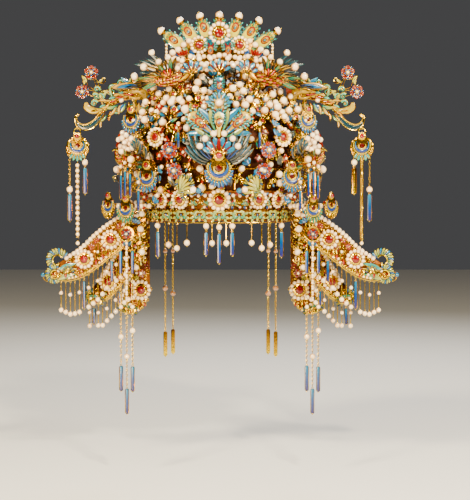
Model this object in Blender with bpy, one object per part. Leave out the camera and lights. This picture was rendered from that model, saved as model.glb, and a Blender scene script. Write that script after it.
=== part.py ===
"""A phoenix crown of gilt metal, enamel, pearls and red stones.

Metres, +Z up, front towards -Y. The origin is the centre of the cap's rim, where a head goes in.
Each piece is drawn in millimetres in a frame of its own, x to the right, y up and z out of its face,
and is scaled to metres when it becomes an object. Right-hand pieces have side = 1 and left-hand
ones side = -1, which mirrors them in x.
"""
from math import atan2, cos, degrees, hypot, pi, radians, sin, sqrt

import bmesh
import bpy
from mathutils import Matrix, Vector
from mathutils.bvhtree import BVHTree

for old in list(bpy.data.objects):
    bpy.data.objects.remove(old)

MM = 0.001
GAP = 0.3           # between neighbouring pieces
PLATE = 1.8         # thickness of a stamped plate
CAP_WALL = 1.6
CAP_SIDES = 28
CAP_ROWS = (        # height, half width, half depth of the cap's outside
    (0, 88, 98),
    (45, 105, 108),
    (80, 109, 110),
    (112, 102, 102),
    (137, 86, 86),
    (156, 63, 63),
    (170, 36, 36),
    (178, 8, 8),
)
BAND_TOP = 30
BAND_WALL = 3.0
EDGING_SIZE = (94.0, 103.6)     # half width and half depth of its inside
EDGING_TOP, EDGING_FOOT, EDGING_WALL = 5, -9, 1.6
FRINGE_HEIGHT = -10.3           # centre line of the rail below the edging
ARM_DEPTH = -45                 # of the dragons and scroll arms, along y
PIVOT = (185, ARM_DEPTH, 111.7)     # of a drop on its ring
WIRE = 0.8                      # radius of the interlocked wires


def material(name, colour, roughness, metallic):
    """The plain finish of one kind of piece."""
    made = bpy.data.materials.new(name)
    made.use_nodes = True
    shader = made.node_tree.nodes["Principled BSDF"]
    shader.inputs["Base Color"].default_value = (*colour, 1)
    shader.inputs["Roughness"].default_value = roughness
    shader.inputs["Metallic"].default_value = metallic
    return made


def cap_size(height):
    """Half width and half depth of the cap's outside at a height."""
    rows = CAP_ROWS
    height = min(max(height, rows[0][0]), rows[-1][0])
    for (low, wide_a, deep_a), (high, wide_b, deep_b) in zip(rows, rows[1:]):
        if height <= high:
            part = (height - low) / (high - low)
            return wide_a + part * (wide_b - wide_a), deep_a + part * (deep_b - deep_a)
    return rows[-1][1:]


def oval(half_wide, half_deep, height, sides=CAP_SIDES):
    """A level loop of points around the cap's axis."""
    angles = [2 * pi * i / sides for i in range(sides)]
    return [Vector((half_wide * cos(a), half_deep * sin(a), height)) for a in angles]


def solid(loops):
    """One closed body through loops of equal length, flat at both ends."""
    body = bmesh.new()
    rings = [[body.verts.new(point) for point in loop] for loop in loops]
    count = len(rings[0])
    for low, high in zip(rings, rings[1:]):
        for i in range(count):
            j = (i + 1) % count
            body.faces.new((low[i], low[j], high[j], high[i]))
    body.faces.new(rings[0])
    body.faces.new(rings[-1])
    bmesh.ops.recalc_face_normals(body, faces=body.faces)
    return body


def closed_ring(loops):
    """One closed body through loops that run round and meet again, like a hoop."""
    body = bmesh.new()
    rings = [[body.verts.new(point) for point in loop] for loop in loops]
    count = len(rings[0])
    for low, high in zip(rings, rings[1:] + rings[:1]):
        for i in range(count):
            j = (i + 1) % count
            body.faces.new((low[i], low[j], high[j], high[i]))
    bmesh.ops.recalc_face_normals(body, faces=body.faces)
    return body


def polar(radius_at, height, count, centre=(0, 0)):
    """A loop of points whose radius follows a function of the angle."""
    angles = [2 * pi * i / count for i in range(count)]
    return [Vector((centre[0] + radius_at(a) * cos(a), centre[1] + radius_at(a) * sin(a), height))
            for a in angles]


def plate(outline, back=0.0, front=PLATE):
    """A flat plate with the outline of a list of (x, y)."""
    return solid([[Vector((x, y, z)) for x, y in outline] for z in (back, front)])


def sweep(path, radii, sides=6):
    """A round bar along a path, as thick at each point as its radius says."""
    points = [Vector(p) for p in path]
    loops = []
    across = None
    for i, point in enumerate(points):
        way = (points[min(i + 1, len(points) - 1)] - points[max(i - 1, 0)]).normalized()
        if across is None:
            across = way.orthogonal().normalized()
        across = (across - way * across.dot(way)).normalized()
        third = way.cross(across)
        angles = [2 * pi * (k + 0.5) / sides for k in range(sides)]
        loops.append([point + radii[i] * (cos(a) * across + sin(a) * third) for a in angles])
    return solid(loops)


def hoop(centre, half_wide, half_high, wire, upright_axis, sides=10, wire_sides=5):
    """A wire loop. It stands across x where upright_axis is 'X', and across z where it is 'Z'."""
    loops = []
    for i in range(sides):
        a = 2 * pi * i / sides
        flat = Vector((cos(a), sin(a), 0)) if upright_axis == "Z" else Vector((0, sin(a), cos(a)))
        out = Vector((0, 0, 1)) if upright_axis == "Z" else Vector((1, 0, 0))
        middle = Vector(centre) + Vector((flat.x * half_wide, flat.y * half_high, flat.z * half_wide))
        angles = [2 * pi * k / wire_sides for k in range(wire_sides)]
        loops.append([middle + wire * (cos(b) * flat + sin(b) * out) for b in angles])
    return closed_ring(loops)


def pearl(centre, radius, sides=10):
    """A round bead."""
    body = bmesh.new()
    place = Matrix.Translation(centre)
    bmesh.ops.create_uvsphere(body, u_segments=sides, v_segments=3, radius=radius, matrix=place)
    return body


def stone(centre, radius, foot, sides=8):
    """A cut stone: a foot, a girdle, facets and a table."""
    steps = ((radius, foot), (radius, foot + 1.6), (radius * 0.6, foot + 3.0))
    return solid([polar(lambda a, r=r: r, z, sides, centre) for r, z in steps])


def enamel_bar(x, top, length, half_wide=2.2, depth=0.0):
    """A flat bar with pointed round ends, that hangs down."""
    outline = [(0, 0), (-half_wide, -2), (-half_wide, 2 - length), (0, -length),
               (half_wide, 2 - length), (half_wide, -2)]
    return plate([(x + px, top + py) for px, py in outline], depth - 0.9, depth + 0.9)


def rod(x, top, foot, half_wide=0.6, depth=0.0):
    """A thin square rod that hangs down."""
    signs = ((-1, -1), (1, -1), (1, 1), (-1, 1))
    square = [(across * half_wide, deep * half_wide) for across, deep in signs]
    return solid([[Vector((x + px, y, depth + pz)) for px, pz in square] for y in (top, foot)])


def united(bodies):
    """Joins bodies that reach into each other into one."""
    if len(bodies) == 1:
        return bodies[0]
    objects = []
    for part in (bodies[:1], bodies[1:]):
        whole = bpy.data.meshes.new("joining")
        joined = bmesh.new()
        for body in part:
            piece = bpy.data.meshes.new("piece")
            body.to_mesh(piece)
            joined.from_mesh(piece)
            bpy.data.meshes.remove(piece)
        joined.to_mesh(whole)
        objects.append(bpy.data.objects.new("joining", whole))
        bpy.context.scene.collection.objects.link(objects[-1])
    union = objects[0].modifiers.new("Union", "BOOLEAN")
    union.operation = "UNION"
    union.solver = "EXACT"
    union.use_self = True
    union.object = objects[1]
    result = bmesh.new()
    result.from_object(objects[0], bpy.context.evaluated_depsgraph_get())
    for made in objects:
        whole = made.data
        bpy.data.objects.remove(made)
        bpy.data.meshes.remove(whole)
    return result


def add_node(name, bodies, finish, frame=None):
    """One object from bodies in millimetres, set in a frame whose place is in millimetres."""
    body = united(bodies)
    body.transform(Matrix.Scale(MM, 4))
    mesh = bpy.data.meshes.new(name)
    body.to_mesh(mesh)
    mesh.shade_smooth()
    mesh.set_sharp_from_angle(angle=radians(32))
    mesh.materials.append(finish)
    made = bpy.data.objects.new(name, mesh)
    bpy.context.scene.collection.objects.link(made)
    if frame is not None:
        made.matrix_world = Matrix.Translation(frame.translation * MM) @ frame.to_3x3().to_4x4()
    return made


def surface(body, frame=None):
    """The outside of a body in the crown's frame, for posts that stop at it."""
    copy = body.copy()
    if frame is not None:
        copy.transform(frame)
    return BVHTree.FromBMesh(copy)


def facing(x, y, z, turn=0.0, tilt=0.0):
    """The frame of a piece that faces the front, turned towards +X and tilted up, in degrees."""
    a, b = radians(turn), radians(tilt)
    out = Vector((sin(a) * cos(b), -cos(a) * cos(b), sin(b)))
    right = Vector((cos(a), sin(a), 0))
    up = out.cross(right)
    frame = Matrix((right, up, out)).transposed().to_4x4()
    frame.translation = (x, y, z)
    return frame


def on_cap(x, z, lift, share=1.0, back=False):
    """A frame at a height and distance from the middle, lifted off the cap, that faces away from it.

    A share below 1 turns it less than the cap's surface does.
    """
    wide, deep = (half + lift for half in cap_size(z))
    y = -deep * sqrt(1 - (x / wide) ** 2)
    above, below = cap_size(z + 1), cap_size(z - 1)
    slope = (x / wide) ** 2 * (above[0] - below[0]) / wide + (y / deep) ** 2 * (above[1] - below[1]) / deep
    level = hypot(x / wide ** 2, y / deep ** 2)
    tilt = -degrees(atan2(slope / 2, level))
    turn = degrees(atan2(x / wide ** 2, -y / deep ** 2)) * share
    if back:
        return facing(x, -y, z, 180 - turn, tilt * share)
    return facing(x, y, z, turn, tilt * share)


def stem(frame, anchor, aim, onto, radius=1.4, sides=5):
    """A post from the back of a piece towards a point of the crown, GAP short of what it meets."""
    start = frame @ Vector(anchor)
    way = (Vector(aim) - start).normalized()
    across = way.orthogonal().normalized()
    third = way.cross(across)
    angles = [2 * pi * i / sides for i in range(sides)]
    foot = [start + radius * (cos(a) * across + sin(a) * third) for a in angles]
    reaches = [tree.ray_cast(point, way)[3] for tree in onto for point in foot + [start]]
    reach = min(found for found in reaches if found is not None) - GAP
    local = frame.inverted()
    return solid([[local @ (point + way * far) for point in foot] for far in (0, reach)])


# Cap: a hollow dome, one wall from its ceiling down the inside, across the rim and up the outside.
def cap_body():
    def inner_row(i):
        rows = CAP_ROWS
        before, after = rows[max(i - 1, 0)], rows[min(i + 1, len(rows) - 1)]
        run, rise = after[1] - before[1], after[0] - before[0]
        length = hypot(run, rise)
        z, wide, deep = rows[i]
        if i == 0:
            return 0, wide - CAP_WALL, deep - CAP_WALL
        return z + CAP_WALL * run / length, wide - CAP_WALL * rise / length, deep - CAP_WALL * rise / length

    inside = [inner_row(i) for i in reversed(range(len(CAP_ROWS)))]
    return solid([oval(wide, deep, z) for z, wide, deep in inside + list(CAP_ROWS)])


# Brow band: a ring that follows the cap from its rim to BAND_TOP.
def band_body():
    section = []
    for z, out in ((0, GAP + 0.1), (BAND_TOP, GAP + 0.1), (BAND_TOP, BAND_WALL), (0, BAND_WALL)):
        wide, deep = cap_size(z)
        section.append((wide + out, deep + out, z))
    angles = [2 * pi * i / CAP_SIDES for i in range(CAP_SIDES)]
    return closed_ring([[Vector((w * cos(a), d * sin(a), z)) for w, d, z in section] for a in angles])


# Cloud-scroll edging: an upright strip below the band whose lower edge is scalloped.
def edging_body(lobes=24):
    sides = lobes * 2
    loops = []
    for i in range(sides):
        a = 2 * pi * i / sides
        foot = EDGING_FOOT if i % 2 else EDGING_FOOT + 4
        wide, deep = EDGING_SIZE
        outs = ((0, EDGING_TOP), (0, foot), (EDGING_WALL, foot), (EDGING_WALL, EDGING_TOP))
        loops.append([Vector(((wide + out) * cos(a), (deep + out) * sin(a), z)) for out, z in outs])
    return closed_ring(loops)


def rosette_bodies(radius, stone_radius, lobes=6):
    """A scalloped setting with a raised seat and a cut stone."""
    count = lobes * 2
    scallop = [radius if i % 2 else radius * 0.9 for i in range(count)]

    def edge(a):
        return scallop[round(a / (2 * pi) * count) % count]

    steps = ((edge, 0.0), (edge, PLATE), (lambda a: stone_radius, 3.4), (lambda a: stone_radius * 0.6, 5.2))
    return [solid([polar(reach, z, count) for reach, z in steps])]


def flower_bodies(radius, petals=6):
    """Petals round a raised button."""
    count = petals * 3
    steps = [radius if i % 3 else radius * 0.72 for i in range(count)]

    def edge(a):
        return steps[round(a / (2 * pi) * count) % count]

    levels = ((edge, 0.0), (edge, PLATE), (lambda a: radius * 0.42, 3.4), (lambda a: radius * 0.3, 5.0))
    return [solid([polar(reach, z, count) for reach, z in levels])]


def crescent_bodies(radius, drop=1.5):
    """A scalloped disc with a petal fringe below, a raised crescent boss and a cut stone above it."""
    count = 16

    def edge(a):
        below = max(0.0, -sin(a))
        above = max(0.0, sin(a)) ** 6
        lobe = 0.06 * cos(a * 8)
        return radius * (1 + lobe + (drop - 1) * below + 0.35 * above)

    levels = ((edge, 0.0), (edge, PLATE), (lambda a: radius * 0.72, 2.8), (lambda a: radius * 0.4, 4.2))
    return [solid([polar(reach, z, count) for reach, z in levels]),
            stone((0, radius * 1.02), radius * 0.3, 1.0)]


def fan_outline(root, feathers, side=1, notch=0.72):
    """The outline of feathers that spread from a root: each is (angle, length, half width), in degrees."""
    points = []
    for i, (angle, length, half) in enumerate(feathers):
        a = radians(angle)
        ahead, across = Vector((cos(a), sin(a))), Vector((sin(a), -cos(a)))
        shoulder = ahead * (length - half)
        points += [shoulder + across * half, ahead * length, shoulder - across * half]
        if i + 1 < len(feathers):
            middle = radians((angle + feathers[i + 1][0]) / 2)
            depth = notch * min(length, feathers[i + 1][1])
            points.append(Vector((cos(middle), sin(middle))) * depth)
    first, last = radians(feathers[0][0] - 70), radians(feathers[-1][0] + 70)
    points.append(Vector((cos(last), sin(last))) * root)
    points.append(Vector((cos(first), sin(first))) * root)
    return [(side * p.x, p.y) for p in points]


GILT = material("gilt", (0.83, 0.58, 0.2), 0.28, 1.0)
BLUE = material("blue_enamel", (0.05, 0.35, 0.55), 0.3, 0.0)
TEAL = material("teal_enamel", (0.08, 0.4, 0.36), 0.3, 0.0)
RED = material("red_stone", (0.5, 0.02, 0.03), 0.15, 0.0)

# Cap, band and edging
cap, band, edging = cap_body(), band_body(), edging_body()
ON_CAP = [surface(cap), surface(band), surface(edging)]
add_node("cap_frame", [cap], GILT)
add_node("brow_band", [band], GILT)
add_node("cloud_edging", [edging], TEAL)

# Crest: a plaque with three rosettes, and the plumes whose roots stand behind it
CREST_DEPTH = -60
CREST_FOOT = 181
plaque_frame = facing(0, CREST_DEPTH, CREST_FOOT)
plaque_half = ((16, -2), (70, 8), (70, 22), (52, 33), (36, 44), (15, 47), (12, 55))
plaque_outline = list(plaque_half) + [(-x, y) for x, y in reversed(plaque_half)]
plaque = [plate(plaque_outline)]
for x, y, radius, gem in ((0, 51, 12, 5.4), (26, 36, 9.5, 4.4), (-26, 36, 9.5, 4.4)):
    for body in rosette_bodies(radius, gem):
        body.transform(Matrix.Translation((x, y, 1.5)))
        plaque.append(body)
for x in (-40, 0, 40):
    plaque.append(stem(plaque_frame, (x, 12, 1), (x * 0.4, 0, 120), ON_CAP, 2.0))
add_node("crest_plaque", plaque, GILT, plaque_frame)

# name, angle from upright, distance of the tip pearl from the plumes' common root
PLUMES = (
    ("crest_plume_1", -54, 95),
    ("crest_plume_2", -37, 87),
    ("crest_plume_3", -19, 80),
    ("crest_plume_4", 0, 77),
    ("crest_plume_5", 19, 80),
    ("crest_plume_6", 37, 87),
    ("crest_plume_7", 54, 95),
)
PLUME_WALL = 1.6
plume_frame = facing(0, CREST_DEPTH + GAP + PLUME_WALL, CREST_FOOT)
for name, angle, reach in PLUMES:
    half_outline = ((2.2, 22), (4.2, 40), (8.2, reach - 30), (8.6, reach - 16), (6.0, reach - 7))
    outline = list(half_outline) + [(-x, y) for x, y in reversed(half_outline)]
    eye = solid([polar(lambda a, r=r: r, z, 10, (0, reach - 14)) for r, z in ((6.0, 1.0), (4.4, 2.5))])
    bodies = [plate(outline, 0, PLUME_WALL), eye, pearl((0, reach - 3, 0.8), 5.2)]
    for body in bodies:
        body.transform(Matrix.Rotation(radians(-angle), 4, "Z"))
    add_node(name, bodies, TEAL, plume_frame)

# Centre phoenix: medallion, wings and tail of eye plumes
medallion_frame = on_cap(0, 58, 24)
medallion = crescent_bodies(15.6, 1.4)
medallion.append(stem(medallion_frame, (0, 0, 0.6), (0, 0, 58), ON_CAP, 2.0))
add_node("phoenix_medallion", medallion, BLUE, medallion_frame)
for side, end in ((-1, "left"), (1, "right")):
    wing_frame = facing(side * 5, -121, 66)
    feathers = ((12, 40, 4), (28, 47, 4.5), (44, 52, 5), (60, 46, 5), (76, 36, 4.5))
    bodies = [plate(fan_outline(3.5, feathers, side, 0.8)),
              stem(wing_frame, (side * 20, 14, 0.9), (side * 18, 0, 78), ON_CAP, 1.6)]
    add_node("phoenix_wing_" + end, bodies, BLUE, wing_frame)
tail_frame = facing(0, -111, 94, 0, 12)
TAIL_FEATHERS = ((18, 40, 5), (42, 46, 5.5), (66, 52, 6), (90, 58, 7), (114, 52, 6),
                 (138, 46, 5.5), (162, 40, 5))
tail = [plate(fan_outline(6, TAIL_FEATHERS, 1, 0.78)), pearl((0, 46, 2), 5.2)]
tail.append(stem(tail_frame, (0, 14, 0.9), (0, 0, 105), ON_CAP, 1.6))
add_node("phoenix_tail", tail, TEAL, tail_frame)

# Upper phoenixes: a bird with a raised neck, and a spray of feathers to the side
SPRAY = ((-8, 34, 5), (12, 46, 5), (30, 54, 5.5), (48, 52, 5), (66, 40, 5))
for side, end in ((-1, "left"), (1, "right")):
    frame = facing(side * 62, -72, 168, side * 10)
    body_path = ((-26, 4, 5), (-20, -6, 5), (-8, -9, 4), (4, -6, 3), (14, 2, 2))
    neck_path = ((-26, 2, 5), (-32, 8, 6), (-31, 15, 7), (-25, 19, 7))
    bodies = [plate(fan_outline(8, SPRAY, side, 0.78)),
              sweep([(side * x, y, z) for x, y, z in body_path], (4, 7.5, 8, 6, 3)),
              sweep([(side * x, y, z) for x, y, z in neck_path], (3.6, 3, 3.4, 1)),
              stem(frame, (side * -8, -6, 1), (side * 10, 0, 140), ON_CAP, 1.8)]
    add_node("upper_phoenix_" + end, bodies, GILT, frame)

# Flowers, rosettes and petal fans of the cap
# name, distance from the middle, height, lift off the cap, share of the cap's turn, radius
FLOWERS = (
    ("upper_flower", 62, 81, 12, 0.6, 12.2),
    ("lower_flower", 56, 55, 12, 0.6, 11.7),
)
for side, end in ((-1, "left"), (1, "right")):
    for name, x, z, lift, share, radius in FLOWERS:
        frame = on_cap(side * x, z, lift, share)
        post = stem(frame, (0, 0, 0.6), frame.translation * 0.3 + Vector((0, 0, z * 0.7)), ON_CAP)
        add_node(name + "_" + end, flower_bodies(radius) + [post], RED, frame)
    frame = on_cap(side * 80, 98, 9, 0.7)
    post = stem(frame, (0, 0, 0.6), frame.translation * 0.3 + Vector((0, 0, 68)), ON_CAP)
    add_node("middle_rosette_" + end, rosette_bodies(10, 4.4) + [post], RED, frame)
    frame = on_cap(side * 61, 122, 9, 0.8)
    petals = ((20, 19, 5), (55, 22, 5), (90, 22, 5), (125, 22, 5), (160, 19, 5))
    post = stem(frame, (0, 6, 0.6), (0, 0, 95), ON_CAP)
    add_node("petal_fan_" + end, [plate(fan_outline(5, petals, side, 0.8)), post], BLUE, frame)

# Crescent medallions of the sides
# name, distance from the middle, depth, height, turn, radius, petal drop
CRESCENTS = (
    ("main_crescent", 92, -82, 49, 30, 13.6, 1.45),
    ("upper_crescent", 113, -66, 122, 30, 12.2, 1.4),
    ("side_crescent", 120, -66, 8, 34, 12.2, 1.45),
    ("rear_crescent", 145, -34, 12, 46, 11.6, 1.45),
)
for name, x, y, z, turn, radius, drop in CRESCENTS:
    for side, end in ((-1, "left"), (1, "right")):
        frame = facing(side * x, y, z, side * turn)
        post = stem(frame, (0, 0, 0.6), (0, 0, max(z, 20)), ON_CAP)
        add_node(name + "_" + end, crescent_bodies(radius, drop) + [post], BLUE, frame)

# Rosettes on the brow band
# name, distance from the middle, radius, stone radius
BAND_ROSETTES = (
    ("brow_rosette_1", -73, 9.4, 4.2),
    ("brow_rosette_2", -49, 10.4, 4.6),
    ("brow_rosette_3", 0, 12, 5.4),
    ("brow_rosette_4", 49, 10.4, 4.6),
    ("brow_rosette_5", 73, 9.4, 4.2),
)
for name, x, radius, gem in BAND_ROSETTES:
    add_node(name, rosette_bodies(radius, gem), RED, on_cap(x, 19, BAND_WALL + GAP + 0.2))

# Dragons whose bodies run out into scroll arms, and the ring at each arm's end
# x, height, radius along each bar of a dragon
DRAGON_BARS = (
    ((93, 147, 3.0), (101, 154, 6.8), (120, 154.5, 7.0), (138, 146, 5.0), (149, 137, 3.6),
     (157, 126, 3.0), (166, 117, 2.6), (177, 114, 2.4), (185, 118.5, 2.2), (187, 125, 1.8), (183, 129, 1.2)),
    ((152, 133, 2.0), (162, 132, 2.2), (171, 136, 1.8), (175, 143, 1.0)),
    ((103, 155, 3.0), (100, 164, 2.6), (106, 172, 2.0), (114, 170, 1.2)),
    ((124, 155, 3.0), (130, 165, 2.6), (139, 167, 2.0), (144, 161, 1.2)),
    ((112, 153, 3.0), (108, 141, 2.6), (98, 137, 2.0), (94, 143, 1.2)),
)
pivot_x, pivot_y, pivot_z = PIVOT
RING = 3.8          # radius of the arm's ring to the middle of its wire
for side, end in ((-1, "left"), (1, "right")):
    frame = facing(0, ARM_DEPTH, 0)
    bodies = [sweep([(side * x, z, 0) for x, z, _ in bar], [r for _, _, r in bar]) for bar in DRAGON_BARS]
    ring_height = pivot_z - 2 * WIRE - 0.4 + RING
    bodies.append(hoop((side * pivot_x, ring_height, 0), RING, RING, WIRE, "X"))
    bodies.append(stem(frame, (side * 102, 152, 0), (0, 0, 128), ON_CAP, 2.2))
    add_node("dragon_arm_" + end, bodies, GILT, frame)

# Drops that swing from the arms' rings: bail, crescent plate and three strands
# x towards the outside, top and foot of the enamel bar, height of the pearl above it
DROP_BARS = ((-10, -52, -86, -45), (10, -86, -121, -80))
BEAD = 2.6          # radius of the middle strand and of the pearl at its foot
for side, end in ((-1, "left"), (1, "right")):
    frame = facing(side * pivot_x, pivot_y, pivot_z)
    face = crescent_bodies(12.2, 1.55)
    for body in face:
        body.transform(Matrix.Translation((0, -23, -0.9)))
    bodies = face + [hoop((0, -5.2, 0), 4.4, 5.2, WIRE, "Z")]
    for x, bar_top, bar_foot, bead in DROP_BARS:
        x *= side
        bodies += [rod(x, -30, bar_top - 1), enamel_bar(x, bar_top, bar_top - bar_foot)]
        bodies.append(pearl((x, bead, 0), 3.2))
    bead_strand = sweep([(0, -48, 0), (0, -142, 0)], (BEAD, BEAD), 8)
    bodies += [rod(0, -38, -150), bead_strand, pearl((0, -150, 0), BEAD)]
    add_node("arm_drop_" + end, bodies, BLUE, frame)

# Flowers on spring wires that stand on the dragons' backs
# x, height, radius
SPRING_FLOWERS = ((166, 183, 10.5), (178, 158, 10.5))
for side, end in ((-1, "left"), (1, "right")):
    frame = facing(0, ARM_DEPTH, 0)
    wires = (((151.5, 140.4), (153, 152), (157, 168), (165, 181)), ((153, 154), (165, 153), (177, 157)))
    bodies = [sweep([(side * x, z, 0) for x, z in wire], (1.0,) * len(wire), 6) for wire in wires]
    for x, z, radius in SPRING_FLOWERS:
        for body in flower_bodies(radius, 5):
            body.transform(Matrix.Translation((side * x, z, -0.5)))
            bodies.append(body)
    add_node("spring_flowers_" + end, bodies, RED, frame)

# Temple wings. Each is a plate between an upper and a lower edge, with a raised rim along the upper
# one, and one or two rosettes.
# distance from the middle, height of the upper edge, height of the lower edge
FRONT_ROWS = ((97, 8, -26), (112, 6, -36), (128, -1, -44), (141, -9, -53), (155, -19, -64),
              (168, -30, -74), (181, -43, -82), (192, -51, -86), (203, -58, -88), (215, -65, -87),
              (226, -72, -84), (236, -79, -83))
MIDDLE_ROWS = ((97, 4, -44), (104, -2, -58), (120, -28, -80), (135, -48, -98), (148, -68, -112),
               (160, -86, -119), (172, -100, -120), (182, -110, -117))
REAR_ROWS = ((95, 4, -104), (101, -10, -122), (108, -34, -132), (116, -62, -137), (124, -88, -138),
             (132, -110, -136), (138, -124, -131))
# name, rows, place of the root along y, turn, rosettes as (x, height, radius, stone radius)
TEMPLE_WINGS = (
    ("front_wing", FRONT_ROWS, -34, 10, ((143, -34, 11, 4.8), (179, -60, 10.4, 4.6))),
    ("middle_wing", MIDDLE_ROWS, -6, 10, ((149, -91, 10.4, 4.6),)),
    ("rear_wing", REAR_ROWS, 26, 14, ((106, -104, 12, 5.2),)),
)
RIM_WIDE, RIM_HIGH = 5.5, 4.0
SURFACES = {}
for name, rows, root_y, turn, rosettes in TEMPLE_WINGS:
    for side, end in ((-1, "left"), (1, "right")):
        frame = facing(side * rows[0][0], root_y, 0, side * turn)
        root_x = rows[0][0]
        loops = []
        for x, top, foot in rows:
            high = min(RIM_WIDE, (top - foot) * 0.4)
            rim = ((top - high, PLATE), (top - high, RIM_HIGH), (top, RIM_HIGH), (top, 0))
            section = ((foot, 0), (foot, PLATE)) + rim
            loops.append([Vector((side * (x - root_x), y, z)) for y, z in section])
        plain = solid(loops)
        SURFACES[name, end] = surface(plain, frame)
        bodies = [plain]
        for x, y, radius, gem in rosettes:
            for body in rosette_bodies(radius, gem):
                body.transform(Matrix.Translation((side * (x - root_x), y, 1.0)))
                bodies.append(body)
        bodies.append(stem(frame, (side * 3, 0, 1), (0, 0, 1), ON_CAP, 1.2))
        add_node(name + "_" + end, bodies, TEAL, frame)

# Fringes below the front and the middle wings: a rail and a strip for each strand
# name, wing, number of strands, first and last strand, feet as (x, height)
FRONT_FEET = ((124, -80), (146, -94), (160, -112), (180, -128), (198, -134), (212, -128))
MIDDLE_FEET = ((116, -112), (125, -116), (141, -132), (158, -150), (176, -151))
WING_FRINGES = (
    ("front_wing_fringe", 0, 10, 124, 212, FRONT_FEET),
    ("middle_wing_fringe", 1, 8, 116, 176, MIDDLE_FEET),
)
STRIP_BACK, STRIP_FRONT = 0.3, 1.5      # the two faces of a fringe's strips


def between(rows, x, column=1):
    """The value of a column at x, read along rows whose first column is x."""
    for a, b in zip(rows, rows[1:]):
        if x <= b[0]:
            return a[column] + (b[column] - a[column]) * (x - a[0]) / (b[0] - a[0])
    return rows[-1][column]


def strip_points(x, rail, foot):
    """The outline of a strand from right to left: a thin shank that widens at its foot, as its bead does."""
    half = ((0.6, rail), (0.6, foot + 6), (2.4, foot + 3))
    return [(x + out, y) for out, y in half] + [(x, foot)] + [(x - out, y) for out, y in reversed(half)]


RAIL = 0.8          # radius of a rail, and half the height of a flat one
for name, number, count, first, last, feet in WING_FRINGES:
    wing_name, rows, root_y, turn, _ = TEMPLE_WINGS[number]
    for side, end in ((-1, "left"), (1, "right")):
        root_x = rows[0][0]
        frame = facing(side * root_x, root_y, 0, side * turn)
        stops = [first - 2] + [x for x, _, _ in rows if first < x < last] + [last + 2]
        outline = [(x, between(rows, x, 2) - 2 * GAP) for x in stops]
        for i in reversed(range(count)):
            x = first + (last - first) * i / (count - 1)
            outline += strip_points(x, between(rows, x, 2) - 2 * GAP - 2 * RAIL, between(feet, x))
        comb = plate([(side * (x - root_x), y) for x, y in outline], STRIP_BACK, STRIP_FRONT)
        add_node(name + "_" + end, [comb], GILT, frame)


# Fringes that hang from rails below the edging, in front and behind
def edging_rail(start, stop, count):
    """Points of a rail below the edging, between two places across the crown."""
    wide, deep = (half + EDGING_WALL / 2 for half in EDGING_SIZE)
    first, last = (atan2(x / wide, sqrt(1 - (x / wide) ** 2)) for x in (start, stop))
    angles = [first + (last - first) * i / (count - 1) for i in range(count)]
    return [Vector((wide * sin(a), -deep * cos(a), FRINGE_HEIGHT)) for a in angles]


def edging_depth(x):
    """Distance of the rail from the crown's middle plane at a distance to the side."""
    wide, deep = (half + EDGING_WALL / 2 for half in EDGING_SIZE)
    return deep * sqrt(1 - (x / wide) ** 2)


def world_bar(point, bodies):
    """Sets bodies drawn around x = 0 and height 0 at a point of the crown."""
    for body in bodies:
        body.transform(facing(*point))
    return bodies


# distance from the middle, height of the pearl, top and foot of the bar or none
FRONT_DROPS = (
    (0, -16, (-24, -62)),
    (9, -36, None),
    (16.5, -8, (-16, -52)),
    (41, -36, None),
    (54, -43, None),
    (65, -39, None),
    (80, -15, (-22, -56)),
)
bodies = [sweep(edging_rail(-84, 84, 15), (RAIL,) * 15, 4)]
for x, bead, bar in FRONT_DROPS:
    for side in ((-1, 1) if x else (1,)):
        place = (side * x, -edging_depth(x), FRINGE_HEIGHT)
        low = (bar[0] - 1 if bar else bead) - FRINGE_HEIGHT
        strand = [rod(0, 0, low), pearl((0, bead - FRINGE_HEIGHT - (3 if bar and bead > -15 else 0), 0), 3.0)]
        if bar:
            strand.append(enamel_bar(0, bar[0] - FRINGE_HEIGHT, bar[0] - bar[1], 2.5))
        bodies += world_bar(place, strand)
add_node("front_fringe", bodies, GILT)

for side, end in ((-1, "left"), (1, "right")):
    rail = [Vector((side * p.x, -p.y, p.z)) for p in edging_rail(62, 80, 4)]
    bodies = [sweep(rail, (RAIL,) * 4, 4)]
    for x, upper, foot in ((66, -112, -196), (76, -104, -198)):
        place = (side * x, edging_depth(x), FRINGE_HEIGHT)
        strand = [rod(0, 0, foot + 31 - FRINGE_HEIGHT), pearl((0, upper - FRINGE_HEIGHT, 0), 3.2),
                  rod(0, upper - 8 - FRINGE_HEIGHT, upper - 46 - FRINGE_HEIGHT, 1.5),
                  enamel_bar(0, foot + 32 - FRINGE_HEIGHT, 32)]
        bodies += world_bar(place, strand)
    add_node("rear_strands_" + end, bodies, GILT)

# Long strands in front of the temples: a scalloped plate on the front wing's face and three strands
# x, height of the pearl, top and foot of the bar
TEMPLE_STRANDS = ((-7.5, -160, -198, -231), (0, -186, -228, -261), (7.5, -152, -199, -232))
for side, end in ((-1, "left"), (1, "right")):
    frame = facing(side * 121, -50, -26)
    holder = polar(lambda a: 10 + 0.8 * cos(8 * a), 0, 16)
    bodies = [solid([holder, [p + Vector((0, 0, PLATE)) for p in holder]]),
              stem(frame, (0, 2, 0.9), (side * 121, 0, -24), [SURFACES["front_wing", end]], 2.0)]
    for x, bead, bar_top, bar_foot in TEMPLE_STRANDS:
        x, bead, top = side * x, bead + 26, bar_top + 26
        bodies += [rod(x, -1, top - 1, 0.6, PLATE / 2), pearl((x, bead, PLATE / 2), 3.0),
                   enamel_bar(x, top, bar_top - bar_foot, 2.2, PLATE / 2)]
    add_node("temple_strands_" + end, bodies, GILT, frame)

# Plaque on the back of the cap
back_frame = on_cap(0, 66, 4, 1.0, back=True)
back = crescent_bodies(30, 1.2)
back.append(stem(back_frame, (0, 0, 0.6), (0, 0, 66), ON_CAP, 2.0))
add_node("back_plaque", back, BLUE, back_frame)
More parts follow.
